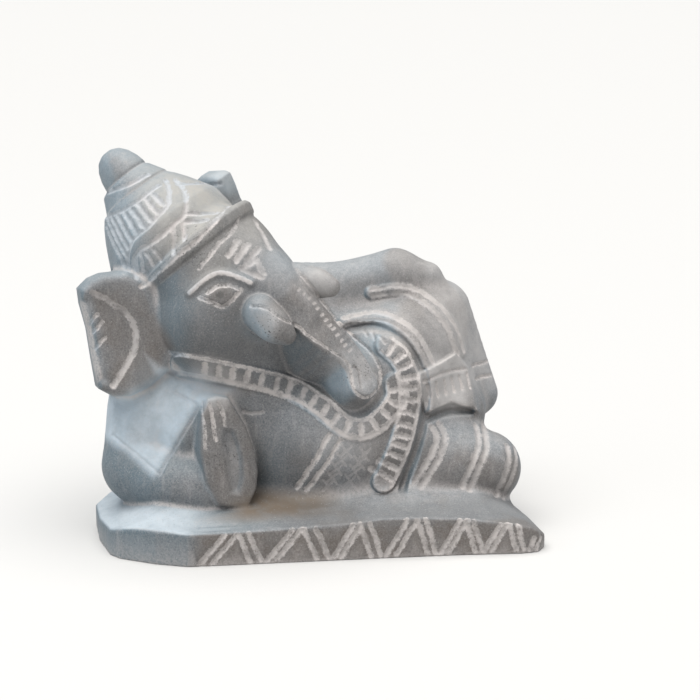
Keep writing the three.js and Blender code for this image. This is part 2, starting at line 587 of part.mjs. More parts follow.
// The cut lines: a line beside another, short lines across one, and the zigzag on the plinth's front
function beside(line, away) {
  return line.map((p, i) => {
    const a = line[Math.max(i - 1, 0)], b = line[Math.min(i + 1, line.length - 1)];
    const size = Math.hypot(b[0] - a[0], b[1] - a[1]);
    return [p[0] - ((b[1] - a[1]) * away) / size, p[1] + ((b[0] - a[0]) * away) / size];
  });
}
function across(line, count, reach, from = 0) {
  const fine = curve(line, 12), left = beside(fine, reach), right = beside(fine, -reach);
  const run = [0];
  for (let i = 1; i < fine.length; i++) run.push(run[i - 1] + Math.hypot(fine[i][0] - fine[i - 1][0], fine[i][1] - fine[i - 1][1]));
  return Array.from({ length: count }, (_, k) => {
    const at = run[run.length - 1] * (from + ((1 - from) * (k + 0.5)) / count), i = run.findIndex((r) => r >= at);
    return [left[i], right[i]];
  });
}
// Where each leg of the zigzag starts and ends along X, and how far apart its two strokes are
const ZIGZAG = {
  face: -27.6, low: 0.8, high: 7.5,
  legs: [[-27.2, -21.5, 2.7], [-16.1, -18.8, 2.4], [-12.4, -6.8, 2.1], [-0.6, -3.4, 2.8], [2.8, 6.8, 1.8], [11.8, 9.6, 2.4],
    [15.3, 19.3, 2.3], [24.8, 22.9, 2], [27.8, 31.7, 1.8], [35.9, 33.9, 1.7], [38, 42, 1.7], [45.7, 43.8, 1.9],
    [48.8, 51.4, 1.8]],
};
function zigzag({ face, low, high, legs }) {
  return legs.flatMap(([foot, top, apart]) => [-apart / 2, apart / 2].map((shift) => {
    const reach = (along(PLINTH.height, top) - 0.6 - low) / (high - low), end = foot + (top - foot) * reach;
    return [onView([foot + shift, face, low]), onView([end + shift, face, low + (high - low) * reach])]
      .map(([u, , v]) => [u, v]);
  }));
}
const FLUTES = [
  [-57.9, 29.6, -51.6, 18.4], [-57.2, 30.8, -51.7, 21.3], [-55.9, 30.9, -51.5, 23.6], [-54.2, 31.3, -50.6, 25.4],
  [-52.3, 31.8, -49.3, 27], [-50.7, 32.7, -47.4, 28.3], [-49.1, 33.8, -45.8, 29.8], [-47.3, 35, -44.2, 31.5],
  [-45.7, 36.2, -43.1, 33.7],
];
const CUTS = [
  ...zigzag(ZIGZAG),
  // crown: ring, double wave, flutes, brim and the crossed bands between them
  [[-58.1, 31.3], [-53.1, 32.3], [-50.4, 33.8], [-47.6, 35.7], [-44.3, 38.5]],
  [[-58.5, 37.1], [-54.3, 37.7], [-50.7, 39], [-47.4, 41]],
  [[-43.1, 39.8], [-41.9, 36.9], [-41.8, 33.9], [-43.8, 31], [-46.5, 28.2], [-49.5, 25.8], [-51, 23.3], [-51.5, 20.6], [-51, 18.1]],
  [[-40.8, 39.9], [-38, 36.1], [-37.9, 31.6], [-40.1, 29], [-43.1, 26.2], [-46.5, 23.8], [-48.6, 22.7], [-49.9, 20.5], [-49.3, 16.6]],
  ...FLUTES.map(([a, b, c, d]) => [[a, b], [c, d]]),
  [[-48, 14.6], [-41, 20], [-32.9, 26.6], [-25.8, 36.8]],
  [[-34.1, 18.4], [-30.6, 23], [-26.7, 27.6], [-25.5, 30.3]],
  [[-40.2, 38.6], [-31.2, 40]],
  [[-37.7, 31.4], [-30.3, 31.6]],
  [[-38.1, 29.3], [-32.9, 29.8]],
  [[-40.6, 28.2], [-40, 21.8]],
  [[-38.2, 29], [-37.7, 24.3]],
  [[-49.4, 21.2], [-48.9, 17.4]],
  [[-48.3, 22.2], [-47.6, 18.2]],
  [[-46.9, 22.3], [-45.1, 19.3]],
  [[-45.2, 23.2], [-42.7, 20.1]],
  // eye, and the mark on the forehead
  [[-32, 12.7], [-29.9, 14.3], [-27.4, 14.5], [-24.6, 13.6]],
  [[-34, 11.9], [-31.3, 10.7], [-29.1, 9.8], [-27, 10.7], [-24.9, 13.2]],
  [[-25.6, 24.7], [-27.6, 21.6]],
  [[-23.3, 24], [-25.7, 20.3]],
  [[-20.8, 23.3], [-23.4, 19.8]],
  [[-24.4, 18.4], [-19.9, 16.5]],
  [[-21.4, 20.7], [-19.6, 17.3]],
  [[-21.9, 29.9], [-18.4, 23.5]],
  // near tusk and trunk
  [[-22.3, 9.9], [-19, 9.4], [-15.4, 7.1], [-11.9, 5.3], [-8.3, 2.4], [-4.7, 0.2], [-1.4, -2]],
  [[-12.2, 18.7], [-9.9, 15.7], [-7, 12.1], [-3.4, 7.2], [0.8, 3.3], [4.2, 0.2], [6.5, -2.8], [7.2, -5.9], [6.5, -9.2], [3.7, -11.3],
    [1.4, -9.9], [0.5, -6.9]],
  // near ear
  [[-58.7, 13], [-55, 11], [-51.7, 8.7], [-49.5, 4.6], [-50, -0.5], [-52.5, -5.1], [-54.6, -8.3]],
  ...[[8.2, 7.6], [5.7, 4.8], [3, 1.6]].map(([a, b]) => [[-57.5, a], [-55.5, b]]),
  // right hand and arm
  [[-34.2, -12.2], [-33.5, -17.2], [-33.1, -22.5]],
  [[-32.1, -12.4], [-31.4, -16.1], [-30.8, -20.9]],
  [[-30.1, -12.1], [-29.4, -13.8], [-28.6, -17.5]],
  [[-55.9, -20.1], [-52.3, -22.7], [-47.9, -25.9], [-44.1, -29]],
  [[-44.1, -29], [-41.8, -24.5], [-37.6, -17.9], [-34.9, -13.4]],
  [[-40.8, -10], [-35.7, -12.5]],
  [[-24.8, -14.5], [-22.6, -14.9], [-20.3, -14.5]],
  // necklace and belt
  ...[-2.2, 2.2].map((away) => beside(NECKLACE, away)),
  ...across(NECKLACE, 16, 1.1, 0.12),
  ...[-2.3, 2.3].map((away) => beside(BELT, away)),
  ...across(BELT, 13, 1.6),
  // cloth: hems, stripes, sash, pleats and anklet
  ...HEMS.flatMap((line) => [-1, 1].map((away) => beside(line, away))),
  ...STRIPES.flatMap((line) => [-1, 1].map((away) => beside(line, away))),
  [[-4.7, -19.6], [-7.9, -25.6], [-12.4, -32.3]],
  [[-2.1, -21.2], [-5.6, -27.1], [-10.3, -33]],
  ...[0, 1, 2, 3, 4, 5].map((k) => [[18.6 + 2 * k, -8.3 + 0.5 * k], [19.2 + 2 * k, -11.5 + 0.5 * k]]),
  [[30.3, -3.9], [34.6, -2.8]],
  [[30.9, -7.1], [35.4, -6.3]],
];

// Where the carver's line of sight first meets the thinned stone
const seen = body.faces.map((f) => f.map((v) => onView(body.points[v])));
function meet(u, v) {
  let best = null;
  for (const [a, b, c] of seen) {
    const area = (b[0] - a[0]) * (c[2] - a[2]) - (c[0] - a[0]) * (b[2] - a[2]);
    if (Math.abs(area) < 1e-9) continue;
    const s = ((b[0] - u) * (c[2] - v) - (c[0] - u) * (b[2] - v)) / area;
    const t = ((c[0] - u) * (a[2] - v) - (a[0] - u) * (c[2] - v)) / area;
    if (s < 0 || t < 0 || s + t > 1) continue;
    const w = s * a[1] + t * b[1] + (1 - s - t) * c[1];
    if (best === null || w > best) best = w;
  }
  return best === null ? null : add(VIEW.middle, out(view, [u, best, v]));
}
function outward(p) {
  const e = 0.5, near = (k, s) => figure(...p.map((v, i) => (i === k ? v + s * e : v)));
  return unit([0, 1, 2].map((k) => near(k, 1) - near(k, -1)));
}
// The points of a line that it can't do without
function straightened(line, slack) {
  if (line.length < 3) return line;
  const a = line[0], b = line[line.length - 1], t = unit(add(b, a, -1));
  let far = 0, at = 0;
  line.forEach((p, i) => {
    const d = add(p, a, -1), off = Math.hypot(...add(d, t, -dot(d, t)));
    if (off > far) [far, at] = [off, i];
  });
  if (far < slack) return [a, b];
  return [...straightened(line.slice(0, at + 1), slack).slice(0, -1), ...straightened(line.slice(at), slack)];
}
function cutter(points, { half, depth, lift, pace, slack }) {
  const span = Math.max(...points.slice(1).map((p, i) => Math.hypot(p[0] - points[i][0], p[1] - points[i][1])));
  const fine = points.length > 2 ? curve(points, Math.ceil(span / pace))
    : curve([points[0], scale(add([...points[0], 0], [...points[1], 0]), 0.5).slice(0, 2), points[1]], Math.ceil(span / 2 / pace));
  const met = [];
  for (const [u, v] of fine) {
    const p = meet(u, v);
    if (p && met.length && Math.abs(dot(add(p, met[met.length - 1], -1), view[1])) > 2.5 * pace) break;
    if (p) met.push(p);
  }
  if (met.length < 2) return null;
  const line = straightened(met, slack), wide = (half * (depth + lift)) / depth;
  const rows = line.flatMap((p, i) => {
    const n = outward(p), t = unit(add(line[Math.min(i + 1, line.length - 1)], line[Math.max(i - 1, 0)], -1));
    const side = unit(cross(t, n)), top = add(p, n, lift);
    return [add(top, side, wide), add(top, side, -wide), add(p, n, -depth)];
  });
  const last = rows.length - 3, faces = [[0, 1, 2], [last, last + 2, last + 1]];
  for (let i = 0; i < last; i += 3)
    for (let k = 0; k < 3; k++) {
      const a = i + k, b = i + ((k + 1) % 3);
      faces.push([b, a, a + 3], [b, a + 3, b + 3]);
    }
  return solid({ points: rows, faces });
}
for (const line of CUTS) {
  const tool = cutter(line, CUT);
  if (tool) carved = carved.subtract(tool);
}
function meshOf(s) {
  const m = s.getMesh(), same = new Map(Array.from(m.mergeFromVert || [], (v, i) => [v, m.mergeToVert[i]]));
  const points = Array.from({ length: m.numVert }, (_, i) => [...m.vertProperties.subarray(i * m.numProp, i * m.numProp + 3)]);
  const faces = Array.from({ length: m.numTri }, (_, i) => [...m.triVerts.subarray(3 * i, 3 * i + 3)].map((v) => same.get(v) ?? v));
  return { points, faces };
}
carved = solid(thinned(meshOf(carved), TRIANGLES));

function geometry(s) {
  const m = s.getMesh(), n = m.numProp, v = new Float32Array(m.numVert * 3);
  for (let i = 0; i < m.numVert; i++) v.set(m.vertProperties.subarray(i * n, i * n + 3), i * 3);
  return new THREE.BufferGeometry()
    .setAttribute("position", new THREE.BufferAttribute(v, 3))
    .setIndex(new THREE.BufferAttribute(new Uint32Array(m.triVerts), 1));
}

// The origin is under the middle of the whole piece
const made = geometry(carved);
made.computeBoundingBox();
const { min, max } = made.boundingBox;
made.translate(-(min.x + max.x) / 2, -(min.y + max.y) / 2, -min.z);

const piece = new THREE.Mesh(made.toNonIndexed(), new THREE.MeshStandardMaterial({ color: 0x8f979b, roughness: 0.85, metalness: 0 }));
piece.geometry.computeVertexNormals();
piece.name = "reclining_ganesha";
const part = new THREE.Group();
part.add(piece);
export default part;
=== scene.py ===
import math

import bpy
import numpy as np
from bpy.props import FloatProperty, FloatVectorProperty, IntProperty, PointerProperty
from bpy.types import Operator, Panel, PropertyGroup
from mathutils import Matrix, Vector


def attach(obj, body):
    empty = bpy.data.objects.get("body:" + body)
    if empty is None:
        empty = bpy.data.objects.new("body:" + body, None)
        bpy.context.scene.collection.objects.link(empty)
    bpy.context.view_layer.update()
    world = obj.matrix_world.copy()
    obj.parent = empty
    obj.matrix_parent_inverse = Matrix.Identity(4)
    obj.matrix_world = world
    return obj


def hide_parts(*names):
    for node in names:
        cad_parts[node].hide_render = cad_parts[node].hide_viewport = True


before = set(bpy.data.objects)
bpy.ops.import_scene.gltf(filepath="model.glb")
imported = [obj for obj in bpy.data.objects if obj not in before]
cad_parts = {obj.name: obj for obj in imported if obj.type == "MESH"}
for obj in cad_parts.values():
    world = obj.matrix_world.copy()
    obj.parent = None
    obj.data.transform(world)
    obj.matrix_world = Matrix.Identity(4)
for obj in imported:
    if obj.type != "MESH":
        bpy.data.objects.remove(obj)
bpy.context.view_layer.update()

bl_info = {
    "name": "Reclining Ganesha Statue",
    "version": (1, 0, 0),
    "blender": (4, 5, 0),
    "location": "View3D > Sidebar > Statue",
    "description": "Carves the dressed stone of the statue on its fixed solid, and sets the floor, light and camera",
    "category": "Object",
}

NODE = "reclining_ganesha"
MM = 0.001

# The carver's numbers are millimetres in the frame that the forms were laid out in; SEAT moves them to the
# part's own origin, under the middle of the piece.
SEAT = np.array([1.2915, 0.9260, 0.0003])

# The corners of the block that the samples fill, and more than any distance in it
LOW, HIGH = np.array([-58.0, -33.0, -4.0]), np.array([58.0, 33.0, 97.0])
FAR = 60.0

# Where the camera looks and from how far, in metres
TARGET, DISTANCE = Vector((0.010851, 0.000926, 0.04355)), 0.4


# ---- frames and curves

def unit(v):
    """The same direction, one long."""
    v = np.asarray(v, float)
    return v / np.linalg.norm(v)


def seen_from(turn, rise):
    """Across, towards the carver, and up the view."""
    a, e = math.radians(turn), math.radians(rise)
    towards = np.array([math.sin(a) * math.cos(e), -math.cos(a) * math.cos(e), math.sin(e)])
    across = np.array([math.cos(a), math.sin(a), 0.0])
    return np.array([across, towards, np.cross(across, -towards)])


# The view that the relief and the lines are drawn on, and the point that it is centred on. Nothing is drawn on stone
# that lies further back than VIEW_BACK.
VIEW = seen_from(-8, 12)
MIDDLE = np.array([9.5, 0.0, 43.6])
VIEW_BACK = -8.0


def head_frame(tilt, turn):
    """Across the head, out of its face, and up through the crown."""
    t, h = math.radians(tilt), math.radians(turn)
    crown = -VIEW[0] * math.sin(t) + VIEW[2] * math.cos(t)
    over = VIEW[0] * math.cos(t) + VIEW[2] * math.sin(t)
    return np.array([
        VIEW[1] * math.sin(h) - over * math.cos(h),
        VIEW[1] * math.cos(h) + over * math.sin(h),
        crown,
    ])


HEAD = head_frame(40, 43)
BRIM = np.array([-26.9, 3.0, 69.6])


def on_head(p):
    """A point given on the head, from the middle of the crown's brim; a radius after it is kept."""
    return [*(BRIM + np.array(p[:3], float) @ HEAD), *p[3:]]


def facing(normal, up):
    """Axes for a flat thing: across, out of its face, and up."""
    n = unit(normal)
    t = unit(np.asarray(up, float) - n * np.dot(up, n))
    return np.array([np.cross(n, t), n, t])


def leaning(angle):
    """Axes leaned to one side."""
    a = math.radians(angle)
    return np.array([[math.cos(a), 0, -math.sin(a)], [0, 1, 0], [math.sin(a), 0, math.cos(a)]])


def curve(points, steps):
    """A smooth curve through points of any number of values."""
    p = np.array(points, float)
    p = np.vstack([2 * p[0] - p[1], p, 2 * p[-1] - p[-2]])
    made = []
    for a, b, c, d in zip(p[:-3], p[1:-2], p[2:-1], p[3:]):
        for t in np.arange(steps) / steps:
            made.append(0.5 * (2 * b + (c - a) * t + (2 * a - 5 * b + 4 * c - d) * t**2
                               + (3 * b - a - 3 * c + d) * t**3))
    return np.array(made + [p[-2]])


def ease(t):
    t = np.clip(t, 0, 1)
    return t * t * (3 - 2 * t)


def rising(value, start, over):
    """From 0 at start to 1, over the width given."""
    return ease((value - start) / over)


def falling(value, end, over):
    """From 1 down to 0 at end, over the width given."""
    return ease((end - value) / over)


# ---- forms: distance, centre, reach

def egg(centre, radii, axes=np.eye(3)):
    """A round form with a radius along each axis."""
    c, r = np.array(centre[:3], float), np.array(radii, float)

    def distance(p):
        q = (p - c) @ axes.T / r
        k = np.linalg.norm(q, axis=1)
        return k * (k - 1) / np.maximum(np.linalg.norm(q / r, axis=1), 1e-9)

    return distance, c, r.max()


def limb(points):
    """A round limb along points that each carry a radius."""
    line = curve(points, 5) if len(points) > 2 else np.array(points, float)

    def distance(p):
        best = np.full(len(p), 1e9)
        for a, b in zip(line[:-1], line[1:]):
            e = b[:3] - a[:3]
            t = np.clip((p - a[:3]) @ e / (e @ e), 0, 1)
            gap = p - a[:3] - t[:, None] * e
            best = np.minimum(best, np.sqrt((gap * gap).sum(1)) - a[3] - (b[3] - a[3]) * t)
        return best

    c = (line[:, :3].min(0) + line[:, :3].max(0)) / 2
    return distance, c, (np.linalg.norm(line[:, :3] - c, axis=1) + line[:, 3]).max()


def line_distance(line, x, y):
    """Distance in the plane to a line."""
    best = np.full(len(x), 1e18)
    for (ax, ay), (bx, by) in zip(line[:-1], line[1:]):
        ex, ey = bx - ax, by - ay
        t = np.clip(((x - ax) * ex + (y - ay) * ey) / (ex * ex + ey * ey), 0, 1)
        best = np.minimum(best, (x - ax - ex * t) ** 2 + (y - ay - ey * t) ** 2)
    return np.sqrt(best)


def outline_distance(outline, x, y):
    """Distance in the plane to a closed outline, negative inside."""
    o = np.array(outline, float)
    inside = np.zeros(len(x), bool)
    for (ax, ay), (bx, by) in zip(o, np.roll(o, -1, 0)):
        if ay != by:
            inside ^= ((ay > y) != (by > y)) & (x < ax + (y - ay) * (bx - ax) / (by - ay))
    gap = line_distance(np.vstack([o, o[:1]]), x, y)
    return np.where(inside, -gap, gap)


def rounded(a, b, r):
    """What lies inside both a and b, with a round edge."""
    return np.minimum(np.maximum(a + r, b + r), 0) + np.hypot(np.maximum(a + r, 0), np.maximum(b + r, 0)) - r


def slab(centre, axes, outline, thickness, edge):
    """A flat form cut to an outline, with rounded edges."""
    c = np.array(centre[:3], float)

    def distance(p):
        q = (p - c) @ axes.T
        return rounded(outline_distance(outline, q[:, 0], q[:, 2]), np.abs(q[:, 1]) - thickness / 2, edge)

    return distance, c, np.hypot(*np.array(outline, float).T).max() + thickness


def wedge(corners, depth, edge):
    """A flat face given by its corners, anticlockwise from outside, and how far it goes in."""
    k = np.array(corners, float)
    n = unit(np.cross(k[1] - k[0], k[2] - k[0]))
    centre, axes = k.mean(0) - n * depth / 2, facing(n, [0, 0, 1])
    return slab(centre, axes, ((k - centre) @ axes.T)[:, [0, 2]], depth, edge)


def turned(foot, axes, profile, offset):
    """A form turned about an axis, from a profile of radius and height."""
    rim = np.array([[0, profile[0][1]], *profile, *[[-r, h] for r, h in reversed(profile)]], float)

    def distance(p):
        q = (p - foot) @ axes.T
        return outline_distance(rim, np.hypot(q[:, 0], q[:, 1] - offset), q[:, 2])

    lo, hi = profile[0][1], profile[-1][1]
    c = foot + axes[2] * (lo + hi) / 2 + axes[1] * offset
    return distance, c, math.hypot(max(r for r, _ in profile), (hi - lo) / 2)


def band(foot, axes, points, back, edge):
    """A band seen face on: across, long, half width and how far out its face is."""
    line = curve(points, 4)

    def distance(p):
        q = (p - foot) @ axes.T
        best, face = np.full(len(p), 1e9), np.zeros(len(p))
        for a, b in zip(line[:-1], line[1:]):
            e = b[:2] - a[:2]
            t = np.clip(((q[:, 0] - a[0]) * e[0] + (q[:, 2] - a[1]) * e[1]) / (e @ e), 0, 1)
            gap = np.hypot(q[:, 0] - a[0] - t * e[0], q[:, 2] - a[1] - t * e[1]) - a[2] - (b[2] - a[2]) * t
            near = gap < best
            best, face = np.where(near, gap, best), np.where(near, a[3] + (b[3] - a[3]) * t, face)
        return rounded(best, np.maximum(q[:, 1] - face, back - q[:, 1]), edge)

    p = np.array(points, float)
    mid = p[len(p) // 2]
    c = foot + np.array([mid[0], (back + mid[3]) / 2, mid[1]]) @ axes
    return distance, c, (np.hypot(p[:, 0] - mid[0], p[:, 1] - mid[1]) + p[:, 2]).max() + mid[3]


PLINTH_PLAN = [
    [-31.3, -27.2], [10, -27.4], [30, -27.6], [46, -28.6], [50, -28], [52.4, -24.5], [51, -19], [48.4, -11],
    [47.2, 20], [44.5, 26.5], [-36, 26.5], [-44.5, 20.5], [-49.4, 13], [-52.3, 6.5], [-51.4, -5.5], [-48.9, -16.2],
    [-46.7, -19.2], [-38.6, -24.3],
]
PLINTH_HEIGHT = np.array([
    [-54, 5.2], [-46, 7], [-36, 7.9], [-31, 7.8], [-18, 8], [-6, 8.4], [7.6, 9], [13, 9.7], [21, 9.6],
    [33, 8.9], [44, 7.4], [48, 6.4], [50, 5.3], [52, 3.6],
])
PLINTH_RISE, PLINTH_EDGE = 3.3, 0.7


def plinth():
    """The plinth, cut to its plan, with a top that rises towards the figure."""
    def distance(p):
        x, y, z = p.T
        inward = rising(y, -27, 14) * np.clip((48 - np.abs(x)) / 10, 0, 1)
        top = np.interp(x, *PLINTH_HEIGHT.T) + PLINTH_RISE * inward
        return rounded(outline_distance(PLINTH_PLAN, x, y), np.maximum(z - top, -2 - z), PLINTH_EDGE)

    return distance, np.array([0, 0, 5.0]), 62.0


EAR = [
    [10.3, 10.3], [8, 12.7], [5.3, 13.9], [-0.5, 14.6], [-5.9, 11.7], [-9.3, 4.7], [-12.7, -2.3], [-10.9, -7.7],
    [-6.7, -11.7], [-2.1, -14.3], [2.1, -14.5], [5.6, -12.6], [6.9, -5.8], [8.1, 1.1], [9.8, 6.9],
]
FAR_EAR = [
    [7.5, 5.6], [9.2, 8.6], [10.6, 11.8], [9.6, 13.2], [5.4, 15.8], [2.5, 15.8], [-3, 13.8], [-6.6, 9.5], [-7.6, 1],
    [-7, -7], [-3.5, -12], [1.5, -12], [5, -7], [6.2, 0],
]
PALM = [
    [5.4, 12.9], [3.2, 13.6], [0.6, 13.1], [-1.9, 9.4], [-3.9, 6.3], [-6.3, 0.3], [-7.1, -4.4], [-6.8, -8.4],
    [-4.7, -13.1], [2.3, -12], [5.3, -6.5], [6.7, 0.6], [6.7, 9.5],
]
CROWN = {
    "cap": [[16, -6], [16.5, 3], [16, 8], [14.4, 11], [12.7, 14], [10.9, 16.7], [9.3, 18.6]],
    "brim": [[14.2, -4], [15.8, -2.8], [16.4, -0.8], [15.9, 0.3], [13.6, 0.8]],
    "ring": [[8.6, 17.5], [9, 18.6], [6.9, 22.4], [5.7, 23]],
    "knob": [[5.2, 22], [5.8, 23.4], [5.4, 25.5], [4.5, 27.8], [3.2, 29.5], [1.6, 30.4]],
}


# where the raised palm and the near ear are, and their axes
PALM_PLACE, PALM_AXES = [-21.6, -14, 23.1], facing([0.2, -0.97, 0.1], VIEW[2])
EAR_PLACE, EAR_AXES = [-44.8, -4.8, 50.1], facing([0.15, -0.98, 0.1], VIEW[2])


def forms():
    """The forms of the figure in the order they are joined, each with the width of its fillet."""
    def head_limb(points):
        return limb([on_head(p) for p in points])

    return [
        (plinth(), 0),
        # chest, belly, hips and back
        (egg([-21.2, 5, 27.7], [26.6, 17.5, 17.5], leaning(8)), 2),
        (egg([1.9, 2, 21.4], [24, 19, 20]), 5),
        (limb([[-1.6, 6, 20.2, 19], [22, 5, 18.5, 18.5]]), 6),
        (limb([[-4.9, 11.5, 41.2, 13], [21.4, 11.5, 41.7, 13]]), 5),
        # right arm and hand
        (limb([[-37.2, 3, 35, 10.2], [-40.8, 1, 26.5, 8.3], [-41.5, -1, 17.8, 8.7]]), 3),
        (limb([[-41.2, -2, 16.8, 8.5], [-34.1, -9, 14.9, 6.8], [-25.9, -12.5, 13.3, 5.5]]), 2),
        (limb([[-33.9, -6, 17.5, 3.2], [-25.6, -11.5, 34, 2.4]]), 4),
        (limb([[-25.5, -10, 15.6, 7], [-34, -7, 16.3, 5]]), 3),
        (wedge([[-36.6, -6, 16], [-25.2, -15, 9.5], [-25.9, -13.6, 35.6]], 9, 0.7), 1),
        (slab(PALM_PLACE, PALM_AXES, PALM, 7, 0.8), 1.2),
        (egg([-18.9, -8.4, 17.6], [3.6, 5.6, 7.6]), 2),
        # neck and head
        (limb([on_head([0, -2, -18, 15]), [-16.9, 3, 31.3, 15]]), 3),
        (egg(on_head([0, -1, -7]), [15.6, 16.2, 15], HEAD), 2),
        (egg(on_head([4, -1, -16]), [18.5, 14, 12.5], HEAD), 6),
        (egg(on_head([0, 8, -17]), [9, 7.5, 9], HEAD), 4),
        # trunk
        (head_limb([[0, 9.5, -12, 7], [0.3, 10.5, -21, 6.6], [0.2, 10.5, -30, 5]]), 2.5),
        (band(BRIM, HEAD, [[0.2, -24, 5.8, 14.4], [-0.8, -35, 5.2, 14.4], [-2.9, -42, 4, 13.5],
                           [-3.4, -46, 3.8, 12.6], [-2.3, -50.3, 4.2, 11.8]], 0, 0.9), 1.2),
        # near tusk
        (head_limb([[8.9, 11.8, -22.8, 4.2], [8.8, 12.6, -27.3, 3.9], [8.5, 13.4, -30.8, 2.3]]), 0.8),
        # crown
        (turned(BRIM, HEAD, CROWN["cap"], -5.6), 0.8),
        (turned(BRIM, HEAD, CROWN["brim"], -0.2), 0.5),
        (turned(BRIM, HEAD, CROWN["ring"], -4.6), 0.3),
        (turned(BRIM, HEAD, CROWN["knob"], -3.6), 0.4),
        # ears
        (egg([-40, 1, 48], [9, 8, 10]), 3),
        (slab(EAR_PLACE, EAR_AXES, EAR, 10, 2.2), 2.5),
        (slab(on_head([-17.5, -6, -2.7]), facing(-HEAD[0], HEAD[2]), FAR_EAR, 6, 1.8), 1.2),
        # left leg, its knee raised
        (limb([[14.3, 2, 27.5, 15], [22, 4, 39.8, 13], [29.4, 10, 48.7, 10.2]]), 4),
        (limb([[33.4, 12, 50, 8.2], [39.4, 12, 37.6, 6.4], [43, 11, 29.2, 5.6]]), 2),
        (limb([[30.7, 8, 41.2, 9], [33.8, 4, 26.8, 10]]), 4),
        # left arm, its hand on the knee
        (limb([[-4.7, 14, 54, 9], [8.9, 13, 56.1, 7], [22, 11.5, 59.6, 6.4]]), 4.5),
        (limb([[23.3, 10.5, 59.6, 5], [30, 8.5, 59.7, 3.4]]), 4),
        # far tusk, lying against that arm
        (head_limb([[-5.9, 12.4, -22.1, 4], [-8, 14.7, -25.6, 3.6], [-9.2, 16.2, -28.4, 2.4]]), 0.8),
        # right leg, folded on the plinth
        (limb([[21.8, -1, 13.8, 11.5], [32.4, -4, 15, 11.5], [41.9, -5, 14.4, 9]]), 3),
    ]


# ---- relief and cut lines, across and up the view

NECKLACE = [[-38.8, -3.5], [-30, -5], [-17.7, -7.8], [-11.5, -10.1], [-6.5, -13.3], [-3.5, -15.9], [-0.5, -18],
            [3.3, -18.5], [6.3, -17.1], [9.2, -14.4], [11.1, -11.3], [10.9, -8]]
BELT = [[8.6, 1.2], [11.8, -1.7], [14, -6.6], [14.2, -13], [12.5, -20.8], [10.8, -25.3], [9, -29.3], [8, -31]]
HEMS = [
    [[5.3, 13.9], [11.7, 14.6], [16.3, 13.6], [21.3, 9.9], [24.7, 5.6], [27, -0.5]],
    [[-1.2, 6.8], [3.9, 8], [8.4, 7.8], [12.9, 5.5], [16.2, 2.1], [19.1, -3.3]],
]
STRIPES = [
    [[20.5, -17.9], [21.7, -20.7], [20.9, -24], [19, -27.5], [15.9, -32]],
    [[31.6, -18.2], [31.8, -23], [30.5, -26.4], [27.6, -32.8]],
    [[39, -23], [39.3, -27], [38, -30.7], [36.1, -35.3]],
]
BROW = [[-36.3, 12.9], [-32.9, 15.8], [-30.4, 17.2], [-27.9, 17.3], [-25, 16.4], [-22.5, 15.2]]
PLEATS = [[15.4, -5.9], [21.6, -2.9], [25.7, -0.5], [28.8, -4.4], [30.2, -9.8], [31.2, -15.1], [24.6, -12.8],
          [18.1, -15.2]]
PALM_HOLLOW = [[-28.7, -18.4], [-27.3, -18.7], [-26, -21.5], [-25.1, -25.4], [-25, -30], [-25.9, -33.2],
               [-27.3, -32.8], [-28.2, -28.9], [-28.6, -24.1], [-28.9, -20.5]]
EAR_FOLD = [[-58.7, 13], [-55, 11], [-51.7, 8.7], [-49.5, 4.6], [-50, -0.5], [-52.5, -5.1], [-54.6, -8.3]]
EAR_CUP = [*EAR_FOLD, [-57.4, -7], [-58.8, -1], [-60, 6], [-61, 11]]
SHOULDER = [[-60, -20], [-52, -24], [-45.5, -29.5], [-35.5, -13.4], [-30.5, -11.5], [-27.5, -9.2], [-34, -7.2],
            [-45, -5.5], [-52.5, -10.5], [-60, -10.5]]
EYE = [[-34, 11.9], [-32, 12.7], [-29.9, 14.3], [-27.4, 14.5], [-24.6, 13.6], [-27, 10.7], [-29.1, 9.8], [-31.3, 10.7]]

# line or area, half width, height, width of the slope at its side; a height below 0 is sunk
BANDS = [
    (NECKLACE, 2.7, 0.9, 0.9), (BELT, 2.7, 1.0, 0.9), (HEMS[0], 1.5, 0.6, 0.9), (HEMS[1], 1.5, 0.7, 0.9),
    (BROW, 0.9, 0.7, 1.2),
    ([[0, 5.1], [5.3, 5.5], [9.5, 4], [12.8, 1.7], [15.4, -1.9], [17.1, -5.9]], 0.9, -0.8, 0.9),
    ([[17.6, -5.2], [18.2, -10.7], [17.4, -17.8], [15.6, -24.2], [14, -28.4], [12.5, -33.1]], 0.9, -1.0, 0.9),
    ([[17.9, -16.9], [21.1, -15.6], [24.3, -14.8], [29.3, -14.7]], 0.8, -1.0, 0.9),
    (PLEATS, None, 1.3, 0.9), (PALM_HOLLOW, None, -1.3, 1.6),
    # finer than the solid shows
    (EAR_CUP, None, -1.0, 2.2), (EYE, None, 0.35, 0.8),
]


def beside(line, away):
    """The line moved sideways."""
    p = np.array(line, float)
    t = np.gradient(p, axis=0)
    t /= np.linalg.norm(t, axis=1, keepdims=True)
    return p + np.column_stack([-t[:, 1], t[:, 0]]) * away


def across(line, count, reach, start=0.0, widening=0.0):
    """Short lines across a line, evenly along it, the later ones longer to one side."""
    fine = curve(line, 12)
    run = np.append(0, np.cumsum(np.hypot(*np.diff(fine, axis=0).T)))
    left, right, far = beside(fine, reach), beside(fine, -reach), beside(fine, -reach - widening)
    at = run[-1] * (start + (1 - start) * (np.arange(count) + 0.5) / count)
    pick = np.searchsorted(run, at)
    return [[left[i], right[i] + (far[i] - right[i]) * (i / len(fine)) ** 4] for i in pick]


def on_view(p):
    """Across the view, towards the carver and up the view."""
    return (np.asarray(p, float) - MIDDLE) @ VIEW.T


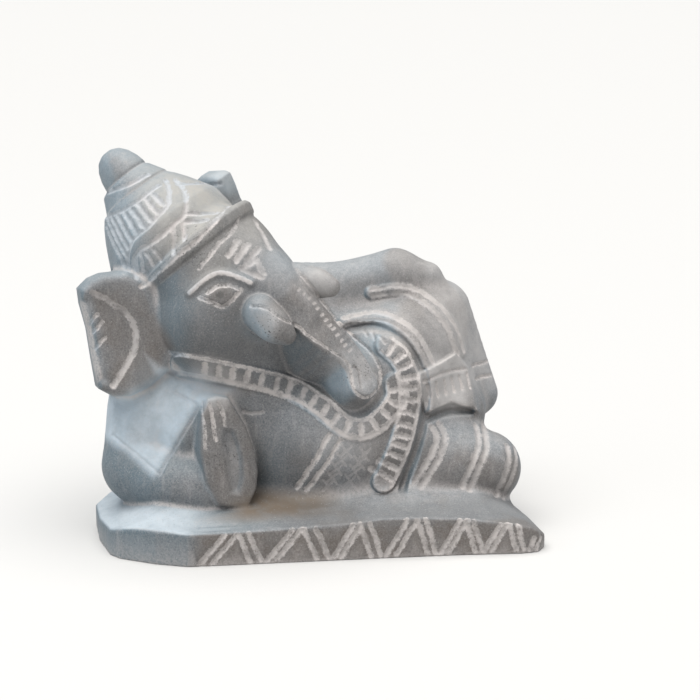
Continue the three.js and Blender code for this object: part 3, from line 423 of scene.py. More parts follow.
# foot, top and the distance between the two strokes of each leg, then the face that they are cut in and the heights
# that they run between
ZIGZAG = [
    [-27.2, -21.5, 2.7], [-16.1, -18.8, 2.4], [-12.4, -6.8, 2.1], [-0.6, -3.4, 2.8], [2.8, 6.8, 1.8], [11.8, 9.6, 2.4],
    [15.3, 19.3, 2.3], [24.8, 22.9, 2], [27.8, 31.7, 1.8], [35.9, 33.9, 1.7], [38, 42, 1.7], [45.7, 43.8, 1.9],
    [48.8, 51.4, 1.8],
]
FACE, STROKE_LOW, STROKE_HIGH, STROKE_MARGIN = -27.6, 0.8, 7.5, 0.6


def zigzag():
    """Two strokes for each leg of the zigzag on the front of the plinth."""
    made, full = [], STROKE_HIGH - STROKE_LOW
    for foot, top, apart in ZIGZAG:
        reach = (np.interp(top, *PLINTH_HEIGHT.T) - STROKE_MARGIN - STROKE_LOW) / full
        for shift in (-apart / 2, apart / 2):
            end = foot + (top - foot) * reach
            made.append([on_view([foot + shift, FACE, STROKE_LOW])[[0, 2]],
                         on_view([end + shift, FACE, STROKE_LOW + full * reach])[[0, 2]]])
    return made


FLUTES = [
    [[-57.9, 29.6], [-51.6, 18.4]], [[-57.2, 30.8], [-51.7, 21.3]], [[-55.9, 30.9], [-51.5, 23.6]],
    [[-54.2, 31.3], [-50.6, 25.4]], [[-52.3, 31.8], [-49.3, 27]], [[-50.7, 32.7], [-47.4, 28.3]],
    [[-49.1, 33.8], [-45.8, 29.8]], [[-47.3, 35], [-44.2, 31.5]], [[-45.7, 36.2], [-43.1, 33.7]],
]


def crossing(corner, count):
    """Crossed strokes in a slanting row, as the sash is hatched."""
    down, rising_arm, falling_arm = np.array([-1.1, -2.1]), np.array([1.3, 1.1]), np.array([1.1, -1.6])
    made = []
    for k in range(count):
        c = np.array(corner) + k * down
        made += [[c - falling_arm, c + falling_arm], [c + rising_arm, c - rising_arm]]
    return made


NECK_EDGE = [[-41.8, -2.9], *NECKLACE[1:]]

# half width, depth, paleness, then the lines cut with that tool
CUTS = [
    (0.70, 0.45, 0.95, [
        *zigzag(),
        # crown: ring, double wave, brim and the crossed bands between them
        [[-58.1, 31.3], [-53.1, 32.3], [-50.4, 33.8], [-47.6, 35.7], [-44.3, 38.5]],
        [[-58.5, 37.1], [-54.3, 37.7], [-50.7, 39], [-47.4, 41]],
        [[-43.1, 39.8], [-41.9, 36.9], [-41.8, 33.9], [-43.8, 31], [-46.5, 28.2], [-49.5, 25.8], [-51, 23.3],
         [-51.5, 20.6], [-51, 18.1]],
        [[-40.8, 39.9], [-38, 36.1], [-37.9, 31.6], [-40.1, 29], [-43.1, 26.2], [-46.5, 23.8], [-48.6, 22.7],
         [-49.9, 20.5], [-49.3, 16.6]],
        [[-48, 14.6], [-41, 20], [-32.9, 26.6], [-25.8, 36.8]],
        [[-40.2, 38.6], [-31.2, 40]],
        [[-37.7, 31.4], [-30.3, 31.6]],
        [[-38.1, 29.3], [-32.9, 29.8]],
        [[-40.6, 28.2], [-40, 21.8]],
        [[-38.2, 29], [-37.7, 24.3]],
        # sash
        [[-4.7, -19.6], [-7.9, -25.6], [-12.4, -32.3]],
        [[-2.1, -21.2], [-5.6, -27.1], [-10.3, -33]],
        # borders of the belt
        beside(BELT, 2.3), beside(BELT, -2.3)[:-2],
    ]),
    # both edges of the hems and stripes
    (0.90, 0.45, 0.62, [beside(line, away) for line in HEMS + STRIPES for away in (-1, 1)]),
    # borders of the necklace, fold of the ear, flutes of the crown, and ticks across the belt and the necklace
    (0.62, 0.45, 1.0, [beside(NECK_EDGE, 2.2)]),
    (1.00, 0.45, 1.0, [beside(NECK_EDGE, -2.2)]),
    (0.85, 0.45, 0.75, [EAR_FOLD]),
    (0.80, 0.55, 0.95, [*FLUTES, *across(BELT, 13, 1.6, 0, 4.5)]),
    (0.80, 0.40, 0.90, across(NECKLACE, 17, 1.1, 0.06)),
    # the mark on the forehead
    (0.85, 0.35, 0.75, [
        [[-25.6, 24.7], [-27.6, 21.6]], [[-23.3, 24], [-25.7, 20.3]], [[-20.8, 23.3], [-23.4, 19.8]],
        [[-24.4, 18.4], [-19.9, 16.5]], [[-21.4, 20.7], [-19.6, 17.3]], [[-21.4, 20.7], [-24.2, 18.4]],
        [[-21.9, 29.9], [-18.4, 23.5]],
    ]),
    (0.55, 0.40, 0.95, [
        # under the brim, and short ticks above it
        [[-34.1, 18.4], [-30.6, 23], [-26.7, 27.6], [-25.5, 30.3]],
        [[-49.4, 21.2], [-48.9, 17.4]], [[-48.3, 22.2], [-47.6, 18.2]], [[-46.9, 22.3], [-45.1, 19.3]],
        [[-45.2, 23.2], [-42.7, 20.1]],
        # lids
        [[-32, 12.7], [-29.9, 14.3], [-27.4, 14.5], [-24.6, 13.6]],
        [[-34, 11.9], [-31.3, 10.7], [-29.1, 9.8], [-27, 10.7], [-24.9, 13.2]],
        # inside the ear
        *[[[a, b], [a + 2.3, b + 2.4]] for a, b in ((-60.1, 5.7), (-59.1, 3.9), (-58.6, 0.3))],
        # pleats and anklet
        *[[[18.6 + 2 * k, -8.3 + 0.5 * k], [19.2 + 2 * k, -11.5 + 0.5 * k]] for k in range(6)],
        [[17.6, -7.6], [23.5, -5.2], [28.6, -4.6]],
        [[30.3, -3.9], [34.6, -2.8]], [[30.9, -7.1], [35.4, -6.3]],
    ]),
    (0.45, 0.40, 0.95, [
        # near tusk, and the edges of the trunk
        [[-22.3, 9.9], [-19, 9.4], [-15.4, 7.1], [-11.9, 5.3], [-8.3, 2.4], [-4.7, 0.2], [-1.4, -2], [0.2, -4.4],
         [0.6, -6.9]],
        [[-12.2, 18.7], [-9.9, 15.7], [-7, 12.1], [-3.4, 7.2], [0.8, 3.3], [4.2, 0.2], [6.5, -2.8], [7.2, -5.9],
         [6.5, -9.2], [3.7, -11.3], [1.4, -9.9], [0.5, -6.9]],
    ]),
    # curl in the trunk's tip
    (0.45, 0.50, 0.35, [[[0.9, -3.9], [2.0, -4.7], [2.5, -6.6], [2.7, -8.6]]]),
    # right hand
    (0.50, 0.40, 1.0, [
        [[-34.2, -12.2], [-33.5, -17.2], [-33.1, -22.5]],
        [[-32.1, -12.4], [-31.4, -16.1], [-30.8, -20.9]],
        [[-30.1, -12.1], [-29.4, -13.8], [-28.6, -17.5]],
    ]),
    # dashes along the trunk
    (0.40, 0.15, 0.7, across([[-12.4, 14.4], [-9.2, 12], [-6.9, 8.8], [-4.1, 5.1], [-1.2, 1.4], [0.5, -0.5]], 13, 0.3)),
    # creases of the arm, of the chest and beside the hand, and the belt's first ticks
    (0.50, 0.35, 0.45, [
        [[-55.9, -20.1], [-52.3, -22.7], [-47.9, -25.9], [-44.1, -29]],
        [[-44.1, -29], [-41.8, -24.5], [-37.6, -17.9], [-34.9, -13.4]],
        [[-40.8, -10], [-35.7, -12.5]],
        [[-24.8, -14.5], [-22.6, -14.9], [-20.3, -14.5]],
        [[3.3, 4.9], [4.2, 3.3]], [[5.2, 4.3], [6, 2.5]], [[7.1, 3.3], [8.3, 1.6]],
    ]),
    # hatching of the sash
    (0.35, 0.12, 0.3, [*crossing((-0.8, -23.6), 5), *crossing((3.4, -24.4), 4)]),
    # the brow is pale along its crest and not cut
    (0.60, 0.0, 0.95, [BROW]),
]


# ---- the stone's surface

# steps between the samples of the first grid, and points worked out at a time
COARSE, CHUNK = 4, 200000


class Stone:
    """The carved form on a grid of samples, with its surface found from them."""

    def __init__(self, step):
        self.step, self.forms = step, forms()
        self.bands = []
        for points, half, height, soft in BANDS:
            line = curve(points, 4) if half else np.array(points, float)
            room = (half or 0) + soft
            self.bands.append((line, half, height, soft, line.min(0) - room, line.max(0) + room))

    def figure(self, p):
        """Distance to the forms alone."""
        d = np.full(len(p), FAR)
        for (distance, centre, reach), fillet in self.forms:
            gap = np.linalg.norm(p - centre, axis=1) - reach
            near = np.flatnonzero(gap < d + fillet)
            if not len(near):
                continue
            a, b = d[near], distance(p[near])
            h = np.maximum(fillet - np.abs(a - b), 0) / fillet if fillet else 0
            d[near] = np.minimum(a, b) - h * h * fillet * 0.25
        return np.maximum(d, -p[:, 2])

    def relief(self, p):
        """How far the bands raise or sink the stone."""
        u, w, v = on_view(p).T
        up, down = np.zeros(len(p)), np.zeros(len(p))
        for line, half, height, soft, lo, hi in self.bands:
            near = np.flatnonzero((w > VIEW_BACK) & (u > lo[0]) & (u < hi[0]) & (v > lo[1]) & (v < hi[1]))
            if not len(near):
                continue
            inside = half - line_distance(line, u[near], v[near]) if half else -outline_distance(line, u[near], v[near])
            h = height * ease(inside / soft + 0.5)
            up[near], down[near] = np.maximum(up[near], h), np.minimum(down[near], h)
        return up + down

    def stone(self, p):
        return self.figure(p) - self.relief(p)

    def sample(self):
        """Samples every step, worked out exactly only near the surface."""
        n = (np.ceil((HIGH - LOW) / self.step / COARSE).astype(int)) * COARSE + 1
        axes = [LOW[k] + self.step * np.arange(n[k])[::COARSE] for k in range(3)]
        grid = np.stack(np.meshgrid(*axes, indexing="ij"), -1).reshape(-1, 3)
        d = self.figure(grid).reshape([len(a) for a in axes]).astype(np.float32)
        self.coarse, self.coarse_step = d, self.step * COARSE
        for step, margin in ((self.step * 2, 2.2), (self.step, 0.9)):
            d = finer(d)
            where = np.argwhere(np.abs(d) < margin + step)
            values = np.empty(len(where), np.float32)
            for s in range(0, len(where), CHUNK):
                values[s:s + CHUNK] = self.stone(LOW + where[s:s + CHUNK] * step)
            d[tuple(where.T)] = values
        self.values = d
        return self

    def look_up(self, p, coarse=False):
        """The distance at any points, from the samples."""
        grid, step = (self.coarse, self.coarse_step) if coarse else (self.values, self.step)
        q = np.clip((p - LOW) / step, 0, np.array(grid.shape) - 1.001)
        i = q.astype(int)
        f = q - i
        total = np.zeros(len(p))
        for c in range(8):
            o = np.array([c >> 2, (c >> 1) & 1, c & 1])
            weight = np.where(o, f, 1 - f).prod(1)
            total += weight * grid[tuple((i + o).T)]
        return total

    def slope(self, p, e):
        """The direction that the surface faces."""
        g = np.stack([self.look_up(p + e * k) - self.look_up(p - e * k) for k in np.eye(3)], 1)
        return g / np.maximum(np.linalg.norm(g, axis=1, keepdims=True), 1e-9)

    def surface(self):
        """One vertex in each cell that the surface crosses, joined by four-sided faces."""
        d, solid = self.values, self.values < 0
        count = np.zeros(np.array(d.shape) - 1, np.uint8)
        for i, j, k in np.ndindex(2, 2, 2):
            count += solid[i:i + count.shape[0], j:j + count.shape[1], k:k + count.shape[2]]
        crossed = (count > 0) & (count < 8)
        cells = np.argwhere(crossed)
        index = np.full(count.shape, -1, np.int32)
        index[crossed] = np.arange(len(cells))
        corners = np.array(list(np.ndindex(2, 2, 2)))
        value = np.stack([d[tuple((cells + c).T)] for c in corners], 1)
        total, found = np.zeros((len(cells), 3)), np.zeros(len(cells))
        for a in range(8):
            for b in range(a + 1, 8):
                if np.abs(corners[a] - corners[b]).sum() == 1:
                    cut = (value[:, a] < 0) != (value[:, b] < 0)
                    t = value[cut, a] / (value[cut, a] - value[cut, b])
                    total[cut] += corners[a] + t[:, None] * (corners[b] - corners[a])
                    found[cut] += 1
        points = LOW + (cells + total / found[:, None]) * self.step
        faces = []
        for axis in range(3):
            u, v = (axis + 1) % 3, (axis + 2) % 3
            here, there = [slice(None)] * 3, [slice(None)] * 3
            here[axis], there[axis] = slice(0, -1), slice(1, None)
            inside = solid[tuple(here)]
            at = np.argwhere(inside != solid[tuple(there)])
            at = at[(at[:, u] > 0) & (at[:, v] > 0) & (at[:, u] < d.shape[u] - 1) & (at[:, v] < d.shape[v] - 1)]

            def cell(du, dv):
                c = at.copy()
                c[:, u] += du
                c[:, v] += dv
                return index[tuple(c.T)]

            ring = np.stack([cell(-1, -1), cell(0, -1), cell(0, 0), cell(-1, 0)], 1)
            flip = ~inside[tuple(at.T)]
            ring[flip] = ring[flip][:, ::-1]
            faces.append(ring)
        most = 0.3 * self.step
        for _ in range(2):
            reach = np.clip(self.look_up(points), -most, most)
            points = points - self.slope(points, self.step * 0.5) * reach[:, None]
        points[:, 2] = np.maximum(points[:, 2], 0)
        return points, np.vstack(faces)

    def meet(self, u, v):
        """Where the carver's line of sight first meets the stone, and whether it does."""
        steps, close, stride, least, touching, met = 160, 2.5, 0.7, 0.02, 0.01, 0.3
        w = np.full(len(u), FAR)
        for _ in range(steps):
            p = MIDDLE + np.column_stack([u, w, v]) @ VIEW
            gap = self.look_up(p, coarse=True)
            gap = np.where(np.abs(gap) < close, self.look_up(p), gap)
            w -= np.where(gap > touching, np.maximum(gap * stride, least), 0)
        return p, np.abs(gap) < met


def finer(grid):
    """Twice as many samples each way, by straight lines between them."""
    for axis in range(3):
        a = np.moveaxis(grid, axis, 0)
        b = np.empty((2 * len(a) - 1, *a.shape[1:]), np.float32)
        b[::2], b[1::2] = a, (a[1:] + a[:-1]) / 2
        grid = np.moveaxis(b, 0, axis)
    return np.ascontiguousarray(grid)


# ---- nodes

class Value:
    """A socket that can be used in sums."""

    def __init__(self, tree, socket):
        self.tree, self.socket = tree, socket

    def sum(self, operation, *others, flip=False):
        values = [self, *others]
        if flip:
            values.reverse()
        return self.tree.node("ShaderNodeMath", {"operation": operation}, *values)

    def __add__(self, o): return self.sum("ADD", o)
    def __radd__(self, o): return self.sum("ADD", o)
    def __sub__(self, o): return self.sum("SUBTRACT", o)
    def __rsub__(self, o): return self.sum("SUBTRACT", o, flip=True)
    def __mul__(self, o): return self.sum("MULTIPLY", o)
    def __rmul__(self, o): return self.sum("MULTIPLY", o)
    def __truediv__(self, o): return self.sum("DIVIDE", o)
    def __rtruediv__(self, o): return self.sum("DIVIDE", o, flip=True)
    def __gt__(self, o): return self.sum("GREATER_THAN", o)
    def __lt__(self, o): return self.sum("LESS_THAN", o)

    def clip(self): return self.tree.node("ShaderNodeClamp", {}, self)

    def ramp(self, low, high, to_low=0.0, to_high=1.0):
        smooth = {"interpolation_type": "SMOOTHSTEP"}
        return self.tree.node("ShaderNodeMapRange", smooth, self, low, high, to_low, to_high)


class Tree:
    """A node tree whose nodes come from one method."""

    def __init__(self, tree):
        self.tree = tree

    def node(self, kind, settings, *values, out=0, **named):
        """A node of a kind with its settings, then values or links for its sockets, in order or by name."""
        made = self.tree.nodes.new(kind)
        for name, value in settings.items():
            setattr(made, name, value)
        sockets = [(made.inputs[i], v) for i, v in enumerate(values)]
        for name, value in named.items():
            match = [s for s in made.inputs if s.enabled and s.name.replace(" ", "_") == name]
            sockets.append((match[0], value))
        for socket, value in sockets:
            if isinstance(value, Value):
                self.tree.links.new(value.socket, socket)
            elif value is not None:
                socket.default_value = value
        if out is None:
            return made
        shown = [s for s in made.outputs if s.enabled]
        return Value(self, shown[out] if isinstance(out, int) else made.outputs[out])

    def mix(self, share, a, b):
        """Colours a and b mixed by share."""
        made = self.tree.nodes.new("ShaderNodeMix")
        made.data_type = "RGBA"
        for socket, value in ((made.inputs[0], share), (made.inputs[6], a), (made.inputs[7], b)):
            if isinstance(value, Value):
                self.tree.links.new(value.socket, socket)
            else:
                socket.default_value = value if isinstance(value, (int, float)) else (*value, 1)
        return Value(self, made.outputs[2])


def cut_lines_tree():
    """Cuts grooves into the stone along the lines of another object, and stores how far each point lies from one."""
    group = bpy.data.node_groups.new("Cut lines", "GeometryNodeTree")
    for name, kind, value in (("Stone", "NodeSocketGeometry", None), ("Lines", "NodeSocketObject", None),
                              ("Unevenness", "NodeSocketFloat", 0.25), ("Pitch", "NodeSocketFloat", 700.0),
                              ("Depth", "NodeSocketFloat", 1.0), ("Material", "NodeSocketMaterial", None)):
        socket = group.interface.new_socket(name, in_out="INPUT", socket_type=kind)
        if value is not None:
            socket.default_value = value
    group.interface.new_socket("Stone", in_out="OUTPUT", socket_type="NodeSocketGeometry")
    t = Tree(group)
    given = group.nodes.new("NodeGroupInput")

    def want(name):
        return Value(t, given.outputs[name])

    lines = t.node("GeometryNodeObjectInfo", {"transform_space": "ORIGINAL"}, want("Lines"), out="Geometry")
    place = t.node("GeometryNodeInputPosition", {})
    gap = t.node("GeometryNodeProximity", {"target_element": "EDGES"}, lines, out="Distance")
    nearest = t.node("GeometryNodeSampleNearest", {"domain": "POINT"}, lines)

    def tool(name):
        stored = t.node("GeometryNodeInputNamedAttribute", {"data_type": "FLOAT"}, name)
        return t.node("GeometryNodeSampleIndex", {"data_type": "FLOAT", "domain": "POINT"}, lines, Value=stored,
                      Index=nearest)

    half, depth, paleness = tool("half_width"), tool("depth"), tool("paleness")
    wobble = t.node("ShaderNodeTexNoise", {"noise_dimensions": "3D"}, Vector=place, Scale=want("Pitch"), Detail=2.0)
    half = half * (1 + (wobble - 0.5) * want("Unevenness") * 2)
    reach = gap / half
    share = reach.ramp(0.2, 1.15, 1.0, 0.0)
    normal = t.node("GeometryNodeInputNormal", {}, out=0)
    drop = share * depth * want("Depth") * -1
    shift = t.node("ShaderNodeVectorMath", {"operation": "SCALE"}, normal, Scale=drop)
    cut = t.node("GeometryNodeSetPosition", {}, want("Stone"), Offset=shift)
    marked = cut
    for name, value in (("line", reach.sum("MINIMUM", 4.0)), ("paleness", paleness)):
        marked = t.node("GeometryNodeStoreNamedAttribute", {"data_type": "FLOAT", "domain": "POINT"}, marked,
                        Name=name, Value=value)
    whole = t.node("GeometryNodeRealizeInstances", {}, marked)
    finished = t.node("GeometryNodeSetMaterial", {}, whole, Material=want("Material"))
    end = group.nodes.new("NodeGroupOutput")
    group.links.new(finished.socket, end.inputs[0])
    return group


PIT_COLOUR, CHALK_COLOUR = (0.04, 0.04, 0.04), (0.60, 0.61, 0.62)


def soapstone(look):
    """Honed grey soapstone: cloudy, finely grained, pitted, pale in its cut lines and dusty above, with painted shade
    in hollows and between ticks, painted light where light falls, painted warm and cool light, and pale sharp edges
    that are partly wear and partly a painted highlight.
    """
    material = bpy.data.materials.new("Soapstone")
    material.use_nodes = True
    material.node_tree.nodes.clear()
    t = Tree(material.node_tree)
    place = t.node("ShaderNodeTexCoord", {}, out="Object")

    def noise(scale, detail=3.0, rough=0.55, warp=0.0, vector=place):
        return t.node("ShaderNodeTexNoise", {"noise_dimensions": "3D"}, Vector=vector, Scale=scale, Detail=detail,
                      Roughness=rough, Distortion=warp)

    def spots(scale, size, share):
        """Round spots in a share of the cells of a pattern."""
        cell = t.node("ShaderNodeTexVoronoi", {"voronoi_dimensions": "3D", "feature": "F1"}, Vector=place, Scale=scale,
                      out=None)
        pick = t.node("ShaderNodeSeparateColor", {}, Value(t, cell.outputs["Color"]), out=0)
        return Value(t, cell.outputs["Distance"]).ramp(size, size * 0.4) * (pick < share)

    def stored(name):
        return t.node("ShaderNodeAttribute", {"attribute_name": name}, out="Fac")

    line, paleness, painted_shade, edge = (stored(n) for n in ("line", "paleness", "painted_shade", "edge"))
    warm, cool, painted_light = (stored(n) for n in ("warm", "cool", "worn"))
    dust, stain, pitted, shade_in_gaps = (stored(n) for n in ("dust", "stain", "pitted", "shade_in_gaps"))
    clouds, patches, mottle = noise(34, 4, 0.6, 0.4), noise(150, 4, 0.62), noise(560, 4, 0.65, 0.3)
    grain, ragged = noise(2600, 4, 0.75), noise(1500, 4, 0.75)
    streak = noise(700, 3, 0.6, vector=t.node("ShaderNodeMapping", {}, place, Scale=(1.0, 1.0, 0.2)))
    pits = (spots(2400, 0.42, 0.26) * (pitted * 1.2 + patches.ramp(0.55, 0.75, 0.0, 0.25))).clip()
    holes = spots(1300, 0.34, 0.35) * (pitted.ramp(0.3, 1.0) + patches.ramp(0.55, 0.7) * 0.12).clip()
    chalk = spots(2600, 0.36, 0.10)

    tone = ((clouds - 0.5) * 1.5 + (patches - 0.5) * 0.9 + (mottle - 0.5) * 1.1 + (grain - 0.5) * 1.4 + 0.5).clip()
    base = t.mix(tone, look.stone_dark, look.stone_pale)
    base = t.mix(noise(95, 3, 0.55).ramp(0.48, 0.68, 0.0, 0.4), base, look.warm_tone_and_light)
    # Painted cool light and painted warm light, over the stone's own blue-green and brown-grey, by the cool and warm
    # shares.
    base = t.mix((cool * (0.85 + (patches - 0.5) * 1.2)).clip(), base, look.cool_tone_and_light)
    base = t.mix((warm * (0.9 + (patches - 0.5) * 0.9)).clip(), base, look.warm_tone_and_light)
    # Painted light: paler, warm or cool, where light falls.
    base = t.mix((painted_light * (0.85 + (patches - 0.5) * 1.1 + (mottle - 0.5) * 0.5)).clip(), base,
                 t.mix((cool * 1.2).clip(), look.worn_warm, look.worn_cool))
    base = t.mix((grain - 0.5).ramp(-0.16, 0.2, 0.0, 0.2), base, look.line_colour)
    base = t.mix((streak - 0.5).ramp(0.02, 0.25, 0.0, 0.16), base, look.line_colour)
    # Pale sharp edges: partly wear, partly a painted highlight.
    base = t.mix((edge * ragged.ramp(0.3, 0.6, 0.2, 0.75)).clip(), base, look.line_colour)
    base = t.mix((dust * (0.85 + (patches - 0.5) * 1.3 + (mottle - 0.5) * 1.0)).clip(), base, look.dust_colour)
    base = t.mix((stain * patches.ramp(0.25, 0.55, 0.4, 1.0)).clip(), base, look.stain_colour)
    # Painted shade in hollows and under parts, and between raised ticks.
    base = t.mix((painted_shade * (0.75 + (mottle - 0.5) * 0.8)).clip() * 0.7, base, look.shade_colour)
    base = t.mix(shade_in_gaps * 0.5, base, look.shade_colour)
    width = line + (ragged - 0.5) * 1.5 + (mottle - 0.5) * 0.9
    worn = width.ramp(1.25, 0.62) * noise(330, 4, 0.65).ramp(0.33, 0.55, 0.55, 1.0) * paleness
    # Pale cut lines, cooler where the stone is in painted cool light or in its own blue-green.
    base = t.mix((worn * 0.95).clip(), base, t.mix((cool * 1.2).clip(), look.line_colour, look.line_cool))
    base = t.mix((pits * 0.6 + holes * 0.7).clip(), base, PIT_COLOUR)
    base = t.mix(chalk * 0.25, base, CHALK_COLOUR)

    rough = 0.6 + (patches - 0.5) * 0.22 + worn * 0.2 + dust * 0.1 - (mottle - 0.5) * 0.12
    height = (grain * 0.35 + mottle * 0.6 + streak * 0.2 + ragged * worn * 0.9 + ragged * dust * 0.6
              - pits * 0.8 - holes * 1.6)
    bump = t.node("ShaderNodeBump", {}, Strength=0.6, Distance=0.0002, Height=height)
    shader = t.node("ShaderNodeBsdfPrincipled", {}, Base_Color=base, Roughness=rough.clip(), Normal=bump,
                    Specular_IOR_Level=0.35)
    end = material.node_tree.nodes.new("ShaderNodeOutputMaterial")
    material.node_tree.links.new(shader.socket, end.inputs["Surface"])
    return material


# ---- settings

def colour(name, description, default):
    return FloatVectorProperty(name=name, description=description, subtype="COLOR", size=3, min=0, max=1,
                               default=default)


class StatueLook(PropertyGroup):
    """Colours of the stone, and of the light and shade painted on it."""

    stone_dark: colour("Dark stone", "Colour of the darker clouds", (0.098, 0.112, 0.124))
    stone_pale: colour("Pale stone", "Colour of the paler clouds", (0.225, 0.242, 0.258))
    # Cool stone stands both for the stone's own blue-green and for painted cool light on what faces left and up; warm
    # stone both for its own brown-grey and for painted warm light on what faces the front.
    cool_tone_and_light: colour("Cool stone", "Colour where the stone turns blue-green", (0.096, 0.144, 0.174))
    warm_tone_and_light: colour("Warm stone", "Colour where the stone turns brown-grey", (0.120, 0.103, 0.091))
    # Painted light: the paler colours of lit stone, warm and cool.
    worn_warm: colour("Painted light", "Colour where handling has worn the stone pale", (0.405, 0.390, 0.382))
    worn_cool: colour("Cool worn stone", "Colour of worn stone that turns blue", (0.430, 0.505, 0.565))
    line_colour: colour("Cut lines", "Colour of freshly cut stone", (0.520, 0.482, 0.462))
    # Cut lines where the stone is cool, in painted cool light and in its own blue-green.
    line_cool: colour("Cool cut lines", "Colour of cut lines in cool stone", (0.405, 0.430, 0.455))
    dust_colour: colour("Dust", "Colour of dust left in the crown", (0.332, 0.320, 0.298))
    stain_colour: colour("Stain", "Colour of the stain at the belly's foot", (0.165, 0.130, 0.098))
    # Painted shade: the colour of shade in hollows, under parts and between raised ticks.
    shade_colour: colour("Painted shade", "Colour of grime in hollows", (0.038, 0.037, 0.036))


class StatueCarving(PropertyGroup):
    """How finely the stone is carved."""

    step: FloatProperty(name="Step", description="Spacing of the samples of the stone", default=0.34 * MM,
                        min=0.2 * MM, max=2 * MM, unit="LENGTH", precision=5)
    faces: IntProperty(name="Triangles", description="Triangles left after thinning", default=196000, min=20000,
                       max=199000)
    depth: FloatProperty(name="Cut depth", description="Share of the full depth of the cut lines", default=1.0,
                         min=0, max=2, subtype="FACTOR")
    unevenness: FloatProperty(name="Unevenness", description="How much a cut line's width varies", default=0.25,
                              min=0, max=1, subtype="FACTOR")


class StatueStage(PropertyGroup):
    """Floor, light and camera."""

    floor: colour("Floor", "Colour of the floor", (0.52, 0.515, 0.505))
    ambient: FloatProperty(name="Ambient", description="Strength of the light from all round", default=0.28, min=0,
                           max=5)
    above: FloatProperty(name="Light above", description="Strength of the wide soft light above", default=5.4, min=0,
                         max=20)
    side: FloatProperty(name="Side light", description="Power of the cool light from the left", default=0.9, min=0,
                        max=200, unit="POWER")
    lens: FloatProperty(name="Lens", description="Focal length of the camera", default=85.37, min=10, max=300,
                        unit="CAMERA")


# ---- pieces

def mesh_of(name, points, faces=(), edges=()):
    """A mesh in metres at the part's origin, from points in the carver's millimetres."""
    mesh = bpy.data.meshes.new(name)
    mesh.vertices.add(len(points))
    mesh.vertices.foreach_set("co", ((np.asarray(points) + SEAT) * MM).astype(np.float32).ravel())
    if len(faces):
        sides = faces.shape[1]
        mesh.loops.add(faces.size)
        mesh.loops.foreach_set("vertex_index", faces.astype(np.int32).ravel())
        mesh.polygons.add(len(faces))
        mesh.polygons.foreach_set("loop_start", np.arange(0, faces.size, sides, dtype=np.int32))
    if len(edges):
        mesh.edges.add(len(edges))
        mesh.edges.foreach_set("vertices", np.asarray(edges, np.int32).ravel())
    mesh.update(calc_edges=bool(len(faces)))
    mesh.validate()
    return mesh


def store(mesh, name, values):
    """A number kept on each point of the mesh, for a material or a node tree to read."""
    attribute = mesh.attributes.new(name, "FLOAT", "POINT")
    attribute.data.foreach_set("value", np.asarray(values, np.float32))


# millimetres between the points of a cut line, how far it may drop back between two, and how the hand sways as it
# cuts: turns in a millimetre and reach
LINE_STEP, LINE_DROP, SWAY = 0.4, 1.6, ((0.9, 0.06), (2.3, 0.04))
HAND_SEED = 7


def cut_lines(stone):
    """All the cut lines as edges lying on the stone, each point with its tool's half width, depth and paleness."""
    hand = np.random.default_rng(HAND_SEED)
    points, edges, tools = [], [], []
    for *tool, lines in CUTS:
        for line in lines:
            p = np.array(line, float)
            fine = curve(p, 16) if len(p) > 2 else p[0] + np.linspace(0, 1, 24)[:, None] * (p[1] - p[0])
            run = np.append(0, np.cumsum(np.hypot(*np.diff(fine, axis=0).T)))
            even = np.linspace(0, run[-1], max(int(run[-1] / LINE_STEP), 4))
            fine = np.column_stack([np.interp(even, run, fine[:, k]) for k in (0, 1)])
            sway = sum(np.sin(even[:, None] * turn + hand.uniform(0, 6.3, 2)) * reach for turn, reach in SWAY)
            found, hit = stone.meet(*(fine + sway).T)
            joined = hit[1:] & hit[:-1] & (np.abs(np.diff(found @ VIEW[1])) < LINE_DROP)
            edges += [[len(points) + i, len(points) + i + 1] for i in np.flatnonzero(joined)]
            points += list(found)
            tools += [tool] * len(found)
    mesh = mesh_of("cut_lines", points, edges=edges)
    half, depth, paleness = np.array(tools).T
    store(mesh, "half_width", half * MM)
    store(mesh, "depth", depth * MM)
    store(mesh, "paleness", paleness)
    made = bpy.data.objects.new("cut_lines", mesh)
    bpy.context.scene.collection.objects.link(made)
    return made


# Places on the view, across, up and how far they reach
TUSK, CURL, FAR_TIP, PUPIL = (-20.5, 6, 4), (-3, -7.5, 2.2), (-30, 41, 4), (-29.4, 12.4)

# Painted shade, in shares, each with its place. The painted shade is thin at the left, and thick on the cheek, under
# the trunk and at the belly's foot.
SHADE_PLACES = [
    (0.75, -31, 4, 10), (0.5, -12, -1, 5), (0.55, -16, -27, 7), (0.6, -41, 15, 4), (0.5, -36, 19, 3),
    (0.35, -56, 15.5, 3), (0.55, -47, -7, 2.5), (0.45, -26, 18, 6), (0.5, 2, -11, 2), (0.3, *PUPIL, 2),
    (0.4, 19.3, -24, 3.5), (0.45, -57, -8, 2.5),
]
# Painted light: shares of paler stone where light falls, each with its place.
LIT_PLACES = [
    (1, -31, -7.5, 5), (1, 24, -7, 7), (0.35, 0, -21, 6), (0.55, 1, -5, 5), (0.6, *TUSK), (0.5, *CURL),
    (0.75, -7.5, 15, 4), (0.4, 8, 5, 7), (0.9, *FAR_TIP), (0.3, -15, 18.5, 5), (0.35, 0, 18, 6),
]
# Shares of the cool colour, each with its place, on the tusk, the trunk's curl, the far ear, the plinth's left facet
# and the forearm: painted cool light, and the stone's own blue-green.
BLUISH = [(1, *TUSK), (1, *CURL), (1, *FAR_TIP), (0.9, -49, -28, 8), (0.8, -42, -22, 4)]
PITTED = [(0.6, -30, -24, 8), (1, -28.5, -24, 3), (1, -19, 4, 3.5), (0.7, -36, 24, 6), (0.8, 1, -5, 4)]

# painted shade between two cut edges: the line, half the width and the share
BETWEEN = [(BELT, 1.9, 0.45), (NECKLACE[1:], 1.7, 0.25), (STRIPES[0], 0.5, 0.5), (STRIPES[1], 0.5, 0.5)]


